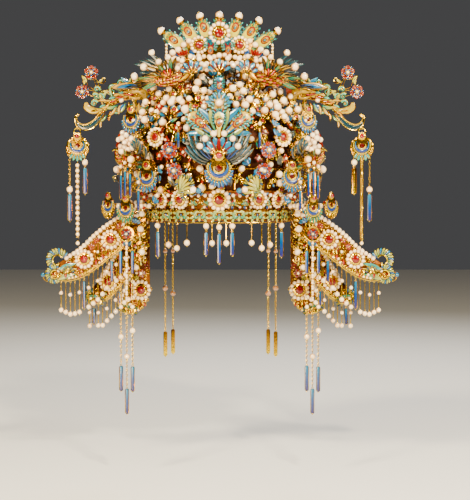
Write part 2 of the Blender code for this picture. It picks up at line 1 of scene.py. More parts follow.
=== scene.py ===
"""The phoenix crown as it looks: gilt metal, kingfisher-blue and teal enamel, pearls and red stones.

Every piece is drawn in millimetres in the crown's own frame, x to the right, y to the back and z up,
and becomes metres as its object is made. Right-hand pieces have side 1 and left-hand ones side -1.
"""
from functools import lru_cache
from math import atan2, cos, degrees, hypot, pi, radians, sin, sqrt
from random import Random

import bpy
import numpy as np
from mathutils import Matrix, Vector


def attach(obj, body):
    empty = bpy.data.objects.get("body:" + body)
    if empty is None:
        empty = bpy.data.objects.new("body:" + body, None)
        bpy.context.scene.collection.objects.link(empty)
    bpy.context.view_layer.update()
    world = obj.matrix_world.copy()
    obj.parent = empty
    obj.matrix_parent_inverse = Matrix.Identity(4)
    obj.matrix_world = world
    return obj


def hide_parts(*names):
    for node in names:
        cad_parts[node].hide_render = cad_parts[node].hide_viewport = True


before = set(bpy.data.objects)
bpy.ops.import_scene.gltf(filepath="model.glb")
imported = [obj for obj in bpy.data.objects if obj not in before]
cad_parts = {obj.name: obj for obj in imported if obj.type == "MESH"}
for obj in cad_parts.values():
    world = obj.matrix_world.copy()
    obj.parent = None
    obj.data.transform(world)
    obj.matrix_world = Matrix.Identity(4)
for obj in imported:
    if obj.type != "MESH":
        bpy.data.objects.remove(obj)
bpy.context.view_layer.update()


# ---- Cap frame
# The hollow dome that sits on the head: thin gilt sheet, raised over a form, with ribs and a net of
# wire scrolls soldered on, and small enamel leaves in the net. It is open below.
MM = 0.001
SIDES = ((1, "right"), (-1, "left"))
CAP_WALL = 1.6
CAP_ROWS = (        # height, half width, half depth of the outside
    (0, 88, 98),
    (45, 105, 108),
    (80, 109, 110),
    (112, 102, 102),
    (137, 86, 86),
    (156, 63, 63),
    (170, 36, 36),
    (178, 8, 8),
)
CAP_TOP = CAP_ROWS[-1][0]
BUMP_DEPTH = 0.0004
SHARP_EDGE = 52     # degrees between two faces from which their edge stays sharp
shelf = []          # the finishes made so far; a face names its finish by its place in this list


def socket_group(name, inputs, outputs):
    """An empty node group with these sockets, each a (name, kind, value)."""
    group = bpy.data.node_groups.new(name, "ShaderNodeTree")
    for label, kind, value in inputs:
        socket = group.interface.new_socket(label, in_out="INPUT", socket_type=kind)
        socket.default_value = value
    for label, kind in outputs:
        group.interface.new_socket(label, in_out="OUTPUT", socket_type=kind)
    return group, group.nodes.new("NodeGroupInput"), group.nodes.new("NodeGroupOutput")


def feed(tree, socket, given):
    """Links an input to another node's socket, or sets it to a value."""
    if isinstance(given, bpy.types.NodeSocket):
        tree.links.new(given, socket)
    else:
        socket.default_value = given


def new_node(tree, kind, inputs=None, **settings):
    """A shader node with these settings and inputs."""
    node = tree.nodes.new("ShaderNode" + kind)
    for label, value in settings.items():
        setattr(node, label, value)
    for label, given in (inputs or {}).items():
        feed(tree, node.inputs[label], given)
    return node


def spread(tree, value, low, high, to_low, to_high):
    """A value moved from one range to another."""
    limits = {"Value": value, "From Min": low, "From Max": high, "To Min": to_low, "To Max": to_high}
    return new_node(tree, "MapRange", limits).outputs["Result"]


def tarnish_and_shade_group():
    """Tarnish and painted shade in the hollows, and cloudy changes of tone, laid over a colour."""
    group, given, out = socket_group(
        "tarnish_and_shade",
        (("Colour", "NodeSocketColor", (1, 1, 1, 1)), ("Hollow Tarnish And Shade", "NodeSocketColor", (0, 0, 0, 1)),
         ("Size", "NodeSocketFloat", 300.0), ("Depth", "NodeSocketFloat", 0.5)),
        (("Colour", "NodeSocketColor"),))
    place = new_node(group, "TexCoord").outputs["Object"]
    cloud = new_node(group, "TexNoise", {"Vector": place, "Scale": given.outputs["Size"], "Detail": 4})
    hollow = new_node(group, "NewGeometry")
    # Sunk places take the hollow colour: tarnish, and painted shade where shade falls in the hollows.
    tarnish_and_shade_mask = spread(group, hollow.outputs["Pointiness"], 0.46, 0.52, 1, 0)
    fog = spread(group, cloud.outputs["Fac"], 0.35, 0.7, 0, 0.6)
    both = new_node(group, "Math", {0: tarnish_and_shade_mask, 1: fog}, operation="MAXIMUM")
    share = new_node(group, "Math", {0: both.outputs[0], 1: given.outputs["Depth"]}, operation="MULTIPLY")
    mix = new_node(group, "Mix", data_type="RGBA")
    colours = (share.outputs[0], given.outputs["Colour"], given.outputs["Hollow Tarnish And Shade"])
    for slot, socket in zip((0, 6, 7), colours):        # the factor and the two colours of a colour mix
        feed(group, mix.inputs[slot], socket)
    feed(group, out.inputs["Colour"], mix.outputs[2])
    return group


def handling_group():
    """Polished and dull places as a roughness, and the marks of the maker's tools as a height."""
    group, given, out = socket_group(
        "handling",
        (("Polished", "NodeSocketFloat", 0.2), ("Dull", "NodeSocketFloat", 0.4),
         ("Size", "NodeSocketFloat", 500.0)),
        (("Roughness", "NodeSocketFloat"), ("Height", "NodeSocketFloat")))
    place = new_node(group, "TexCoord").outputs["Object"]
    size = given.outputs["Size"]
    rub = new_node(group, "TexNoise", {"Vector": place, "Scale": size, "Detail": 6}).outputs["Fac"]
    dents = new_node(group, "TexVoronoi", {"Vector": place, "Scale": size}).outputs["Distance"]
    rough = spread(group, rub, 0.3, 0.7, given.outputs["Polished"], given.outputs["Dull"])
    height = new_node(group, "Math", {0: dents, 1: rub}, operation="MULTIPLY")
    feed(group, out.inputs["Roughness"], rough)
    feed(group, out.inputs["Height"], height.outputs[0])
    return group


tarnish_and_shade = tarnish_and_shade_group()
handling = handling_group()


def finish(name, tones, hollow_tarnish_and_shade, polished=0.10, dull=0.28, metallic=0.0, coat=0.35, cloud=420, depth=0.35,
           marks=900, relief=0.15, ior=1.5, glow=0.0, coat_roughness=0.06, facets=False):
    """A finish whose tone runs through the given colours as a point's shade goes from 0 to 1."""
    made = bpy.data.materials.new(name)
    made.use_nodes = True
    tree = made.node_tree
    shade = new_node(tree, "Attribute", attribute_name="shade")
    ramp = new_node(tree, "ValToRGB", {"Fac": shade.outputs["Fac"]})
    elements = ramp.color_ramp.elements
    while len(elements) < len(tones):
        elements.new(0.5)
    for i, tone in enumerate(tones):
        elements[i].position = i / max(len(tones) - 1, 1)
        elements[i].color = (*tone, 1)
    # Tarnish and painted shade in the hollows, and cloudy tone, laid over the ramp's colour.
    tarnished_and_shaded = new_node(tree, "Group", node_tree=tarnish_and_shade)
    worked = new_node(tree, "Group", node_tree=handling)
    bump = new_node(tree, "Bump", {"Strength": relief, "Distance": BUMP_DEPTH,
                                   "Height": worked.outputs["Height"]})
    colour = tarnished_and_shaded.outputs["Colour"]
    inputs = {
        tarnished_and_shaded: {"Colour": ramp.outputs["Color"], "Hollow Tarnish And Shade": (*hollow_tarnish_and_shade, 1), "Size": cloud, "Depth": depth},
        worked: {"Polished": polished, "Dull": dull, "Size": marks},
        tree.nodes["Principled BSDF"]: {
            "Base Color": colour, "Roughness": worked.outputs["Roughness"], "Normal": bump.outputs["Normal"],
            "Metallic": metallic, "Coat Weight": coat, "Coat Roughness": coat_roughness, "IOR": ior},
    }
    # Emission makes the stone glow: a painted glow.
    if glow:
        inputs[tree.nodes["Principled BSDF"]].update({"Emission Color": colour, "Emission Strength": glow})
    for node, values in inputs.items():
        for label, given in values.items():
            feed(tree, node.inputs[label], given)
    made["facets"] = facets
    shelf.append(made)
    return len(shelf) - 1


# The gilt's tones run from a painted shade (dark red-brown) through the gold's own colour to a painted
# highlight (pale yellow); a piece's shade picks its place between them. Its hollow colour is tarnish and
# painted shade.
gilt = finish("gilt", ((0.19, 0.07, 0.0), (0.64, 0.36, 0.0), (0.98, 0.72, 0.0)), (0.12, 0.025, 0.0),
              0.09, 0.26, metallic=1.0, coat=0.0, cloud=180, depth=0.6, marks=420, relief=0.4)
# Dark, dull gilt for the grounds behind the ornaments: partly tarnished old gilt, partly painted shade, dark
# like the shaded gaps between the pieces.
old_gilt_painted_shade = finish("old_gilt_painted_shade", ((0.014, 0.003, 0.001), (0.05, 0.012, 0.001), (0.22, 0.07, 0.003)),
                  (0.012, 0.002, 0.001), 0.34, 0.60, metallic=0.9, coat=0.0, cloud=120, depth=0.7, marks=300,
                  relief=0.4)
blue_enamel = finish("blue_enamel", ((0.0, 0.13, 0.26), (0.0, 0.035, 0.18), (0.018, 0.004, 0.09)),
                     (0.0, 0.03, 0.12))


class Pile:
    """Points and faces of a piece, gathered in millimetres, with a finish on each face and a shade
    from 0 to 1 on each point."""

    LISTS = ("points", "shades", "corners", "sizes", "finishes")

    def __init__(self):
        self.points = [np.zeros((0, 3))]
        self.shades = [np.zeros(0)]
        self.corners = [np.zeros(0, int)]
        self.sizes = [np.zeros(0, int)]
        self.finishes = [np.zeros(0, int)]
        self.count = 0

    def take(self, points, shades, corners, sizes, finishes):
        """Gathers lists whose faces count their corners from 0."""
        for label, values in zip(self.LISTS, (points, shades, corners + self.count, sizes, finishes)):
            getattr(self, label).append(values)
        self.count += len(points)
        return self

    def put(self, points, faces, with_finish, shade):
        """Adds points and the faces between them. The finish and the shade may be lists."""
        points = np.asarray(points, float)
        sizes = np.array([len(face) for face in faces])
        return self.take(points, np.broadcast_to(np.asarray(shade, float), len(points)),
                         np.concatenate([np.asarray(face, int) for face in faces]), sizes,
                         np.broadcast_to(np.asarray(with_finish, int), len(sizes)))

    def flat(self):
        """The gathered lists, each joined into one array."""
        for label in self.LISTS:
            if len(getattr(self, label)) > 1:
                setattr(self, label, [np.concatenate(getattr(self, label))])
        return [getattr(self, label)[0] for label in self.LISTS]

    def add(self, other, place=None, shade=None):
        """Adds a copy of another pile, moved by a matrix. A mirrored copy's faces are turned over."""
        points, shades, corners, sizes, finishes = other.flat()
        if place is not None:
            matrix = np.array(place, float)
            points = points @ matrix[:3, :3].T + matrix[:3, 3]
            if np.linalg.det(matrix[:3, :3]) < 0:
                first = np.cumsum(sizes) - sizes
                corners = corners[np.repeat(2 * first + sizes - 1, sizes) - np.arange(len(corners))]
        if shade is not None:
            shades = np.clip(shades + shade, 0, 1)
        return self.take(points, shades, corners, sizes, finishes)

    def made(self, name, body, *nodes, slot="gilt"):
        """The piece as an object that rides on a body and stands for these CAD nodes."""
        points, shades, corners, sizes, finishes = self.flat()
        mesh = bpy.data.meshes.new(name)
        mesh.vertices.add(len(points))
        mesh.vertices.foreach_set("co", (points * MM).astype(np.float32).ravel())
        mesh.loops.add(len(corners))
        mesh.loops.foreach_set("vertex_index", corners.astype(np.int32))
        mesh.polygons.add(len(sizes))
        mesh.polygons.foreach_set("loop_start", (np.cumsum(sizes) - sizes).astype(np.int32))
        used = sorted(set(finishes.tolist()))
        for index in used:
            mesh.materials.append(shelf[index])
        rank = np.zeros(len(shelf), np.int32)
        rank[used] = np.arange(len(used))
        mesh.polygons.foreach_set("material_index", rank[finishes])
        smooth = np.array([not material["facets"] for material in shelf])
        mesh.update(calc_edges=True)
        mesh.polygons.foreach_set("use_smooth", smooth[finishes])
        mesh.attributes.new("shade", "FLOAT", "POINT").data.foreach_set(
            "value", shades.astype(np.float32))
        mesh.set_sharp_from_angle(angle=radians(SHARP_EDGE))
        mesh.validate()
        made = bpy.data.objects.new(name, mesh)
        bpy.context.scene.collection.objects.link(made)
        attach(made, body)
        if nodes:
            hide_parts(*nodes)


def at(x, y, z=0.0, turn=0.0, size=1.0, tip=0.0):
    """A place within a piece: moved, turned about z by degrees, tipped about x, and scaled."""
    return (Matrix.Translation((x, y, z)) @ Matrix.Rotation(radians(turn), 4, "Z")
            @ Matrix.Rotation(radians(tip), 4, "X") @ Matrix.Scale(size, 4))


def facing(x, y, z, turn=0.0, tilt=0.0):
    """The frame of a piece that faces the front, turned towards its side and tilted back, in degrees."""
    t, b = radians(turn), radians(tilt)
    out = Vector((sin(t) * cos(b), -cos(t) * cos(b), sin(b)))
    right = Vector((cos(t), sin(t), 0))
    up = out.cross(right)
    return Matrix.Translation((x, y, z)) @ Matrix((right, up, out)).transposed().to_4x4()


def polar(reach, angle):
    """x and y at a distance and an angle, in degrees."""
    return reach * cos(radians(angle)), reach * sin(radians(angle))


def oval(count, wide, deep, z, shift=0.0):
    """A ring of points round an oval of these half axes, at a height."""
    angles = (2 * pi * (i + shift) / count for i in range(count))
    return [(wide * cos(a), deep * sin(a), z) for a in angles]


def flipped(side):
    """Mirrors a piece in x for the left-hand side."""
    return Matrix.Diagonal((side, 1, 1, 1))


def cap_size(height):
    """Half width and half depth of the cap's outside at a height."""
    heights, wides, deeps = zip(*CAP_ROWS)
    return float(np.interp(height, heights, wides)), float(np.interp(height, heights, deeps))


def on_cap(x, z, lift, share=1.0, back=False, spin=0.0):
    """The frame of a piece that stands a lift off the cap, tilted by a share of the cap's slope."""
    wide, deep = cap_size(z)
    level = min(abs(x) / (wide + lift), 0.999)
    y = -(deep + lift) * sqrt(1 - level ** 2)
    above, below = cap_size(z + 6)[1], cap_size(z - 6)[1]
    slope = degrees(atan2(below - above, 12)) * (1 - level ** 2)
    turn = degrees(atan2(x / (wide + lift) ** 2, -y / (deep + lift) ** 2))
    if back:
        return facing(x, -y, z, 180 - share * turn, share * slope) @ at(0, 0, 0, spin)
    return facing(x, y, z, share * turn, share * slope) @ at(0, 0, 0, spin)


def loops_between(rings, with_finish, shade, closed=True, caps=True):
    """A skin through rings of equal length, each an array of points, with flat ends."""
    rings = np.asarray(rings, float)
    rows, count = rings.shape[:2]
    faces = []
    for row in range(rows - 1):
        for i in range(count if closed else count - 1):
            j = (i + 1) % count
            faces.append((row * count + i, row * count + j, (row + 1) * count + j,
                          (row + 1) * count + i))
    if caps:
        faces.append(tuple(range(count))[::-1])
        faces.append(tuple(range((rows - 1) * count, rows * count)))
    return Pile().put(rings.reshape(-1, 3), faces, with_finish, shade)


def wire(path, radii, sides, with_finish=gilt, shade=0.5):
    """A drawn wire or bar along a path. Its radius is one number or one for each point."""
    points = [Vector(point) for point in path]
    radii = [radii] * len(points) if isinstance(radii, (int, float)) else [float(r) for r in radii]
    rings = []
    across = None
    for i, point in enumerate(points):
        way = (points[min(i + 1, len(points) - 1)] - points[max(i - 1, 0)]).normalized()
        if across is None:
            across = way.orthogonal().normalized()
        across = (across - way * across.dot(way)).normalized()
        third = way.cross(across)
        rings.append([point + radii[i] * (cos(a) * across + sin(a) * third)
                      for a in (2 * pi * (k + 0.5) / sides for k in range(sides))])
    return loops_between(rings, with_finish, shade)


def smoothed(path, steps):
    """A path through the same points, with rounded corners and so many steps between two of them."""
    points = np.asarray(path, float)
    ends = np.vstack([2 * points[0] - points[1], points, 2 * points[-1] - points[-2]])
    out = []
    for a, b, c, d in zip(ends, ends[1:], ends[2:], ends[3:]):
        for t in np.arange(steps) / steps:
            out.append(0.5 * (2 * b + (c - a) * t + (2 * a - 5 * b + 4 * c - d) * t ** 2
                              + (3 * b - a - 3 * c + d) * t ** 3))
    out.append(points[-1])
    return np.array(out)


def cell(path, widths, enamel, rim=0.45, depth=1.1, dome=0.45, shades=(0.0, 1.0), quill=False):
    """An enamel cell on a plate: a strip along a path with a raised gilt rim and domed enamel in it.
    The path may rise in z. The widths are half widths. A quill is a gilt line along its middle."""
    path = np.asarray([tuple(point) + (0,) * (3 - len(point)) for point in path], float)
    widths = np.asarray(widths, float)
    count = len(path)
    ways = np.gradient(path[:, :2], axis=0)
    ways /= np.maximum(np.linalg.norm(ways, axis=1), 1e-6)[:, None]
    across = np.stack([ways[:, 1], -ways[:, 0]], 1)
    inner = np.maximum(widths - rim, widths * 0.12)
    spans = [-widths, -widths, -inner]
    heights = [0, depth, depth * 0.6]
    if quill:
        thin = np.minimum(rim * 0.5, inner * 0.5)
        spans += [-thin, 0 * widths, thin]
        heights += [depth * 0.6 + dome, depth * 0.6 + dome + 0.35, depth * 0.6 + dome]
    else:
        spans += [-inner * 0.5, inner * 0.5]
        heights += [depth * 0.6 + dome, depth * 0.6 + dome]
    spans += [inner, widths, widths]
    heights += [depth * 0.6, depth, 0]
    rings = []
    for row in range(count):
        rings.append([(*(path[row, :2] + across[row] * span[row]), path[row, 2] + height)
                      for span, height in zip(spans, heights)])
    along = np.concatenate([[0], np.cumsum(np.linalg.norm(np.diff(path, axis=0), axis=1))])
    tones = shades[0] + (shades[1] - shades[0]) * along / along[-1]
    made = loops_between(rings, gilt, np.repeat(tones, len(spans)))
    strip = [gilt] * 2 + [enamel] * (len(spans) - 5) + [gilt] * 3
    if quill:
        strip[3] = strip[4] = gilt
    made.finishes[-1] = np.array(strip * (count - 1) + [gilt, gilt])
    return made


def leaf(length, half_width, enamel, shades, widest=0.55, bend=0.0, rise=0.0, steps=7, **more):
    """A leaf, petal or feather from (0, 0) up along y, bent to one side by degrees and rising in z."""
    t = np.linspace(0, 1, steps) ** 0.9
    body = np.where(t < widest, np.sin(t / widest * pi / 2) ** 0.8,
                    np.maximum(np.cos((t - widest) / (1 - widest) * pi / 2), 0) ** 0.5)
    widths = np.maximum(half_width * body, half_width * 0.10)
    turn = radians(bend) * t
    x = np.concatenate([[0], np.cumsum(np.sin(turn[1:]) * np.diff(t))]) * length
    y = np.concatenate([[0], np.cumsum(np.cos(turn[1:]) * np.diff(t))]) * length
    return cell(np.stack([x, y, rise * t ** 2], 1), widths, enamel, shades=shades, **more)


cap = Pile()
CAP_AROUND, CAP_UP = 72, 26
heights = np.linspace(0, CAP_TOP, CAP_UP)
rings = []
for wall, rows in ((0, heights), (CAP_WALL, heights[::-1])):        # the outside, then the inside
    for z in rows:
        wide, deep = cap_size(z)
        rings.append(oval(CAP_AROUND, wide - wall, deep - wall, min(z, CAP_TOP - wall)))
rings.append(rings[0])
# The dome's sheet is dark gilt: painted shade in the gaps between the ornaments.
cap.add(loops_between(rings, old_gilt_painted_shade, 0.3, caps=False))


def around_cap(angle, z, lift):
    """A point on the cap at an angle from the front, in degrees, positive to the right."""
    wide, deep = cap_size(z)
    return ((wide + lift) * sin(radians(angle)), -(deep + lift) * cos(radians(angle)), z)


RIBS, RIB_LIFT = 16, 0.7
RIB_HEIGHTS = (32, 56, 80, 104, 126, 144, 158, 168, 174)
for rib in range(RIBS):         # ribs from the brow band to the top
    path = [around_cap((rib + 0.5) * 360 / RIBS, z, RIB_LIFT) for z in RIB_HEIGHTS]
    cap.add(wire(smoothed(path, 2), 1.1, 5, shade=0.3))
for z in (58, 92, 122, 147, 165):           # hoops
    cap.add(wire([around_cap(a, z, RIB_LIFT) for a in range(0, 361, 5)], 0.9, 4, shade=0.3))


def curl(turns, size, radius, hand):
    """A wire scroll that winds in on itself, from (0, 0)."""
    angles = np.linspace(0, 2 * pi * turns, 11)
    reach = size * (1 - 0.78 * angles / angles[-1])
    x = hand * (size - reach * np.cos(angles))
    y = reach * np.sin(angles)
    thin = np.linspace(radius, radius * 0.7, len(angles))
    return wire(np.stack([x, y, 0 * x], 1), thin, 4, shade=0.7)


net = Pile()
for hand in (1, -1):
    net.add(curl(1.1, 5.2, 0.5, hand), at(0, 0, 0.5))
    net.add(curl(0.9, 3.6, 0.45, hand), at(0, -1, 0.5, 180))
net.add(leaf(11, 2.6, blue_enamel, (0.0, 0.5), steps=6), at(0, 1, 0.1))
net.add(leaf(7, 2.0, blue_enamel, (0.2, 0.7), steps=5), at(0, -1, 0.1, 180))
NET_ROWS = ((44, 28), (75, 28), (106, 24), (134, 18), (155, 12))     # height, and how many around it
for row, (z, around) in enumerate(NET_ROWS):
    for i in range(around):
        angle = (i + 0.5 * (row % 2)) * 360 / around
        x, y, _ = around_cap(angle, z, 0.4)
        in_front = abs(angle - 360 * round(angle / 360)) < 100
        if in_front and z < 150:
            continue            # hidden behind the ornaments
        cap.add(net, on_cap(x, z, 0.4, back=y > 0))
cap.made("cap_frame_gilt", "crown", "cap_frame")


# ---- Brow band
# A gilt band around the rim of the cap, with two beaded wires and a row of green enamel clouds between
# them, each a group of cells soldered to the band. Scrolls, small pearls and leaves fill the spaces.
teal_enamel = finish("teal_enamel", ((0.40, 0.33, 0.0), (0.0, 0.18, 0.11), (0.0, 0.05, 0.07)),
                     (0.01, 0.04, 0.02))
# The pearl's tones are a painted shade: deep warm tones at its rim, pale cream where it faces out.
pearl_with_painted_shade = finish("pearl_with_painted_shade", ((0.42, 0.17, 0.04), (0.82, 0.56, 0.28), (0.94, 0.80, 0.56)),
                      (0.62, 0.34, 0.16), 0.22, 0.36, coat=1.0, cloud=150, depth=0.25, marks=2000,
                      relief=0.05, coat_roughness=0.03)


@lru_cache(None)
def ball(radius, with_finish, sides=10, rows=7, flatten=1.0, shade=0.5):
    """A bead: a ball with its axis along z. With no shade it gets a painted shade: palest at its front (+z),
    deepening to the rim and darkest behind it.
    """
    tall = radius * flatten
    points = [(0, 0, -tall)]
    for row in range(1, rows):
        level = pi * row / rows - pi / 2
        points += oval(sides, radius * cos(level), radius * cos(level), tall * sin(level))
    points.append((0, 0, tall))
    # Painted shade: palest where the ball faces out along +z, darkest at the rim and behind.
    if shade is None:
        shade = np.array([max(0.0, point[2] / radius) for point in points])
    around = [(i, (i + 1) % sides) for i in range(sides)]
    faces = [(0, 1 + j, 1 + i) for i, j in around]
    for low in range(1, 1 + (rows - 2) * sides, sides):
        faces += [(low + i, low + j, low + sides + j, low + sides + i) for i, j in around]
    last = 1 + (rows - 2) * sides
    faces += [(last + i, last + j, len(points) - 1) for i, j in around]
    return Pile().put(points, faces, with_finish, shade)


luck = Random(11)


def pearl(pile, x, y, z, radius, place=None, fine=False):
    """Adds a pearl, each of its own tone and very slightly out of round. Without a place, it stands in
    the crown's own frame."""
    mesh = ((12, 7) if radius > 4.4 else (10, 6)) if fine else (9, 6)
    # Each pearl has a painted shade, pale where it faces out and dark at its rim, shifted by a tone of its
    # own.
    bead = ball(1.0, pearl_with_painted_shade, *mesh, shade=None)
    wobble = [radius * luck.uniform(0.95, most) for most in (1.04, 1.04, 1.03)]
    if place is None:
        place, x, y, z = facing(x, y, z), 0, 0, 0
    spot = Matrix.Translation((x, y, z)) @ Matrix.Rotation(luck.uniform(0, 6), 4, "Z")
    pile.add(bead, place @ spot @ Matrix.Diagonal((*wobble, 1)), luck.uniform(-0.25, 0.30))


red_enamel = finish("red_enamel", ((0.27, 0.010, 0.0), (0.12, 0.0, 0.0), (0.03, 0.0, 0.0)),
                    (0.06, 0.0, 0.0), dull=0.26, coat=0.3)


def beads_round(pile, count, z, out, bead):
    """Adds beads around the cap at a height."""
    for i in range(count):
        pile.add(bead, Matrix.Translation(around_cap(i * 360 / count, z, out)))


BAND_AROUND = 120
BAND_PROFILE = (    # how far outside the cap, height: the outside with its two lips, then the inside
    (0.3, 0), (2.2, 0), (3.0, 1.2), (3.0, 3.2), (2.3, 4.0), (2.1, 15), (2.3, 26), (3.0, 26.8), (3.0, 28.8),
    (2.2, 30), (0.3, 30), (0.3, 15), (0.3, 0))
BAND_OUT, BAND_MIDDLE = 2.2, 15
rings = []
for out, z in BAND_PROFILE:
    wide, deep = cap_size(z)
    rings.append(oval(BAND_AROUND, wide + out, deep + out, z))
# The band's sheet is dark gilt: painted shade between the clouds and beads on it.
band = loops_between(rings, old_gilt_painted_shade, 0.8, caps=False)
for z in (5.2, 24.8):           # beaded wires
    beads_round(band, 120, z, 2.6, ball(1.5, gilt, 5, 4, shade=0.7))
cloud = Pile()
for turn, length in ((-62, 6.5), (-22, 7.4), (22, 7.4), (62, 6.5)):
    petal = leaf(length, 2.0, teal_enamel, (0.1, 0.9), depth=0.9, bend=turn * 0.3, steps=6)
    cloud.add(petal, at(0, -3.4, 0, -turn))
cloud.add(leaf(6, 2.2, blue_enamel, (0.1, 0.8), depth=0.9), at(0, -3.0, 0, 180))
cloud.add(ball(1.3, gilt, 8, 5, shade=0.7), at(0, -3.0, 1.0))


def on_band(angle, z, lift):
    """The frame of a piece on the band at an angle from the front, in degrees."""
    x, y, _ = around_cap(angle, z, BAND_OUT)
    return on_cap(x, z, lift, back=y > 0)


for angle in range(0, 360, 10):
    band.add(cloud, on_band(angle, BAND_MIDDLE, 2.2))
    between = on_band(angle + 5, BAND_MIDDLE, 2.4)
    in_front = around_cap(angle + 5, BAND_MIDDLE, BAND_OUT)[1] < 40
    for hand in (1, -1) if in_front else ():
        band.add(curl(1.0, 3.4, 0.6, hand), between @ at(0, 1.2, 0.4))
        band.add(curl(1.0, 2.8, 0.6, hand), between @ at(0, -1.2, 0.4, 180))
    band.add(ball(1.5, gilt, 7, 5, shade=1.0), between @ at(0, 0, 1.2))
    pearl(band, 0, 0, 1.6, 2.7, on_band(angle, 24.5, 2.6))      # large and small pearls in the upper edge
    upper = on_band(angle + 5, 21.5, 2.6)       # each small one with a red and a blue petal
    for turn, enamel in ((-62, blue_enamel), (62, red_enamel)):
        band.add(leaf(7.5, 1.9, enamel, (0.6, 0.1), rim=0.35, steps=6), upper @ at(0, 2.4, 0.6, turn))
    pearl(band, 0, 0, 1.6, 2.2, upper @ at(0, 2.5))
FILLERS, FILLER_STEP = 30, 4.55
for i in range(FILLERS):        # small pearls on red, gilt and teal leaves that fill the front of the band
    high, size = ((9.5, 1.9), (18.5, 1.5))[i % 2]
    filler = on_band(-66 + i * FILLER_STEP, high, 2.4)
    for k, enamel in enumerate((red_enamel, gilt, teal_enamel)):
        band.add(leaf(5.6, 1.5, enamel, (0.3, 0.1), rim=0.3, depth=1.0, steps=5),
                 filler @ at(0, 0, 0.3, i * 50 + k * 120))
    pearl(band, 0, 0, 1.0, size, filler)
band.made("brow_band_gilt", "crown", "brow_band")


# ---- Rosettes
# A cut red stone in a toothed gilt setting, on a scalloped gilt plate, ringed by threaded pearls with
# gold beads between. Five sit on the brow band on short posts.
# The ruby glows by emission, a painted glow; its tones, with the facets' shades, make painted glints.
ruby = finish("ruby", ((0.02, 0.0, 0.0), (0.08, 0.0, 0.0), (0.18, 0.001, 0.0)), (0.04, 0.0, 0.0),
              0.03, 0.08, coat=0.1, cloud=300, depth=0.5, marks=300, relief=0.02, ior=1.5, glow=0.45,
              coat_roughness=0.02, facets=True)


@lru_cache(None)
def cut_stone(radius, height, sides, stone):
    """A brilliant-cut stone: table, star and bezel facets and girdle. Its facets carry painted glints."""
    n = sides
    points = []
    for share, level, shift in ((0.86, -0.25, 0), (1, 0, 0), (0.84, 0.55, 0.5), (0.56, 1, 0)):
        points += oval(n, radius * share, radius * share, level * height, shift)
    # Painted glints: the tone rises row by row towards the table and is lighter and darker on alternate
    # facets.
    shades = np.repeat([0.1, 0.35, 0.6, 0.85], n) + np.tile([0.12, -0.12], 2 * n)
    faces = [tuple(range(n))[::-1]]
    for i in range(n):
        j = (i + 1) % n
        faces += [(i, j, n + j, n + i), (n + i, n + j, 2 * n + i), (n + j, 2 * n + j, 2 * n + i),
                  (2 * n + i, 3 * n + j, 3 * n + i), (2 * n + i, 2 * n + j, 3 * n + j)]
    faces.append(tuple(3 * n + i for i in range(n)))
    return Pile().put(points, faces, stone, np.clip(shades, 0, 1))


@lru_cache(None)
def toothed_setting(radius, height, teeth=12):
    """A gilt collar whose edge is cut to points that are bent over the stone."""
    n = teeth * 2
    rows = ((1.22, 0, 1.22, 0), (1.30, 0.6, 1.22, 0.55), (1.12, 0.95, 1.08, 0.6),
            (0.88, 1.15, 1.0, 0.6), (0.92, 0.7, 0.98, 0.4), (0.95, 0, 0.95, 0))
    rings = []
    for even, high_even, odd, high_odd in rows:
        wide, narrow = oval(n, radius * even, radius * even, 0), oval(n, radius * odd, radius * odd, 0)
        rings.append([(*(narrow if i % 2 else wide)[i][:2], height * (high_odd if i % 2 else high_even))
                      for i in range(n)])
    rings.append(rings[0])
    return loops_between(rings, gilt, 0.75, caps=False)


@lru_cache(None)
def scalloped_plate(radius, lobes, thick=1.4):
    """A gilt disc with a scalloped edge, dished towards its middle."""
    n = lobes * 6
    edge = radius * np.array([1 + 0.07 * abs(sin(pi * i * lobes / n)) for i in range(n)])
    edge = np.stack([edge, edge, np.ones(n)], 1)
    rows = ((0.96, 0), (1.0, thick * 0.5), (0.94, thick), (0.62, thick * 0.75), (0.3, thick * 0.7))
    return loops_between([np.array(oval(n, share, share, z)) * edge for share, z in rows], gilt, 0.45)


def rosette(pile, place, radius, gem):
    """Adds a rosette of 13 pearls whose centres lie on a circle of the radius."""
    count = 13
    bead = pi * radius / count * 1.02
    pile.add(scalloped_plate(radius * 0.94, count, 1.6), place)
    pile.add(cut_stone(gem * 1.2, gem * 0.5, 12, ruby), place @ at(0, 0, 2.7))
    pile.add(toothed_setting(gem * 1.2, 2.7), place @ at(0, 0, 1.0))
    for i in range(count):
        angle = 360 * (i + 0.5) / count
        pearl(pile, *polar(radius, angle), 2.0, bead, place)
        pile.add(ball(0.75, gilt, 5, 4, shade=0.7),
                 place @ at(*polar(radius * 0.80, angle + 180 / count), 2.6))


BROW_ROSETTES = (   # x, radius, stone's radius
    (-73, 9.4, 4.2), (-49, 10.4, 4.6), (0, 12.0, 5.4), (49, 10.4, 4.6), (73, 9.4, 4.2))
for number, (x, radius, gem) in enumerate(BROW_ROSETTES, 1):
    piece = Pile()
    place = on_cap(x, 19, 3.5)
    rosette(piece, place, radius, gem)
    piece.add(wire([(0, 0, -1.2), (0, 0, 0.4)], 2.2, 8), place)
    piece.made(f"brow_rosette_{number}_set", "crown", f"brow_rosette_{number}", slot="red_stone")


# ---- Cloud edging
# A row of scalloped cloud scrolls below the brow band: green and teal enamel between gilt wires, cut
# from one strip of sheet, with a rail for the fringe along its foot.
EDGING_WIDE, EDGING_DEEP, EDGING_WALL = 94.0, 103.6, 1.6
EDGING_TOP, EDGING_FOOT = 5, -9
FRINGE_HEIGHT = -10.3


def edging_frame(angle, z):
    """A frame that stands on the edging at an angle from the front, in degrees, and faces outwards."""
    x, y = polar(1, angle - 90)
    x, y = x * (EDGING_WIDE + EDGING_WALL), y * (EDGING_DEEP + EDGING_WALL)
    return facing(x, y, z, degrees(atan2(x / EDGING_WIDE ** 2, -y / EDGING_DEEP ** 2)))


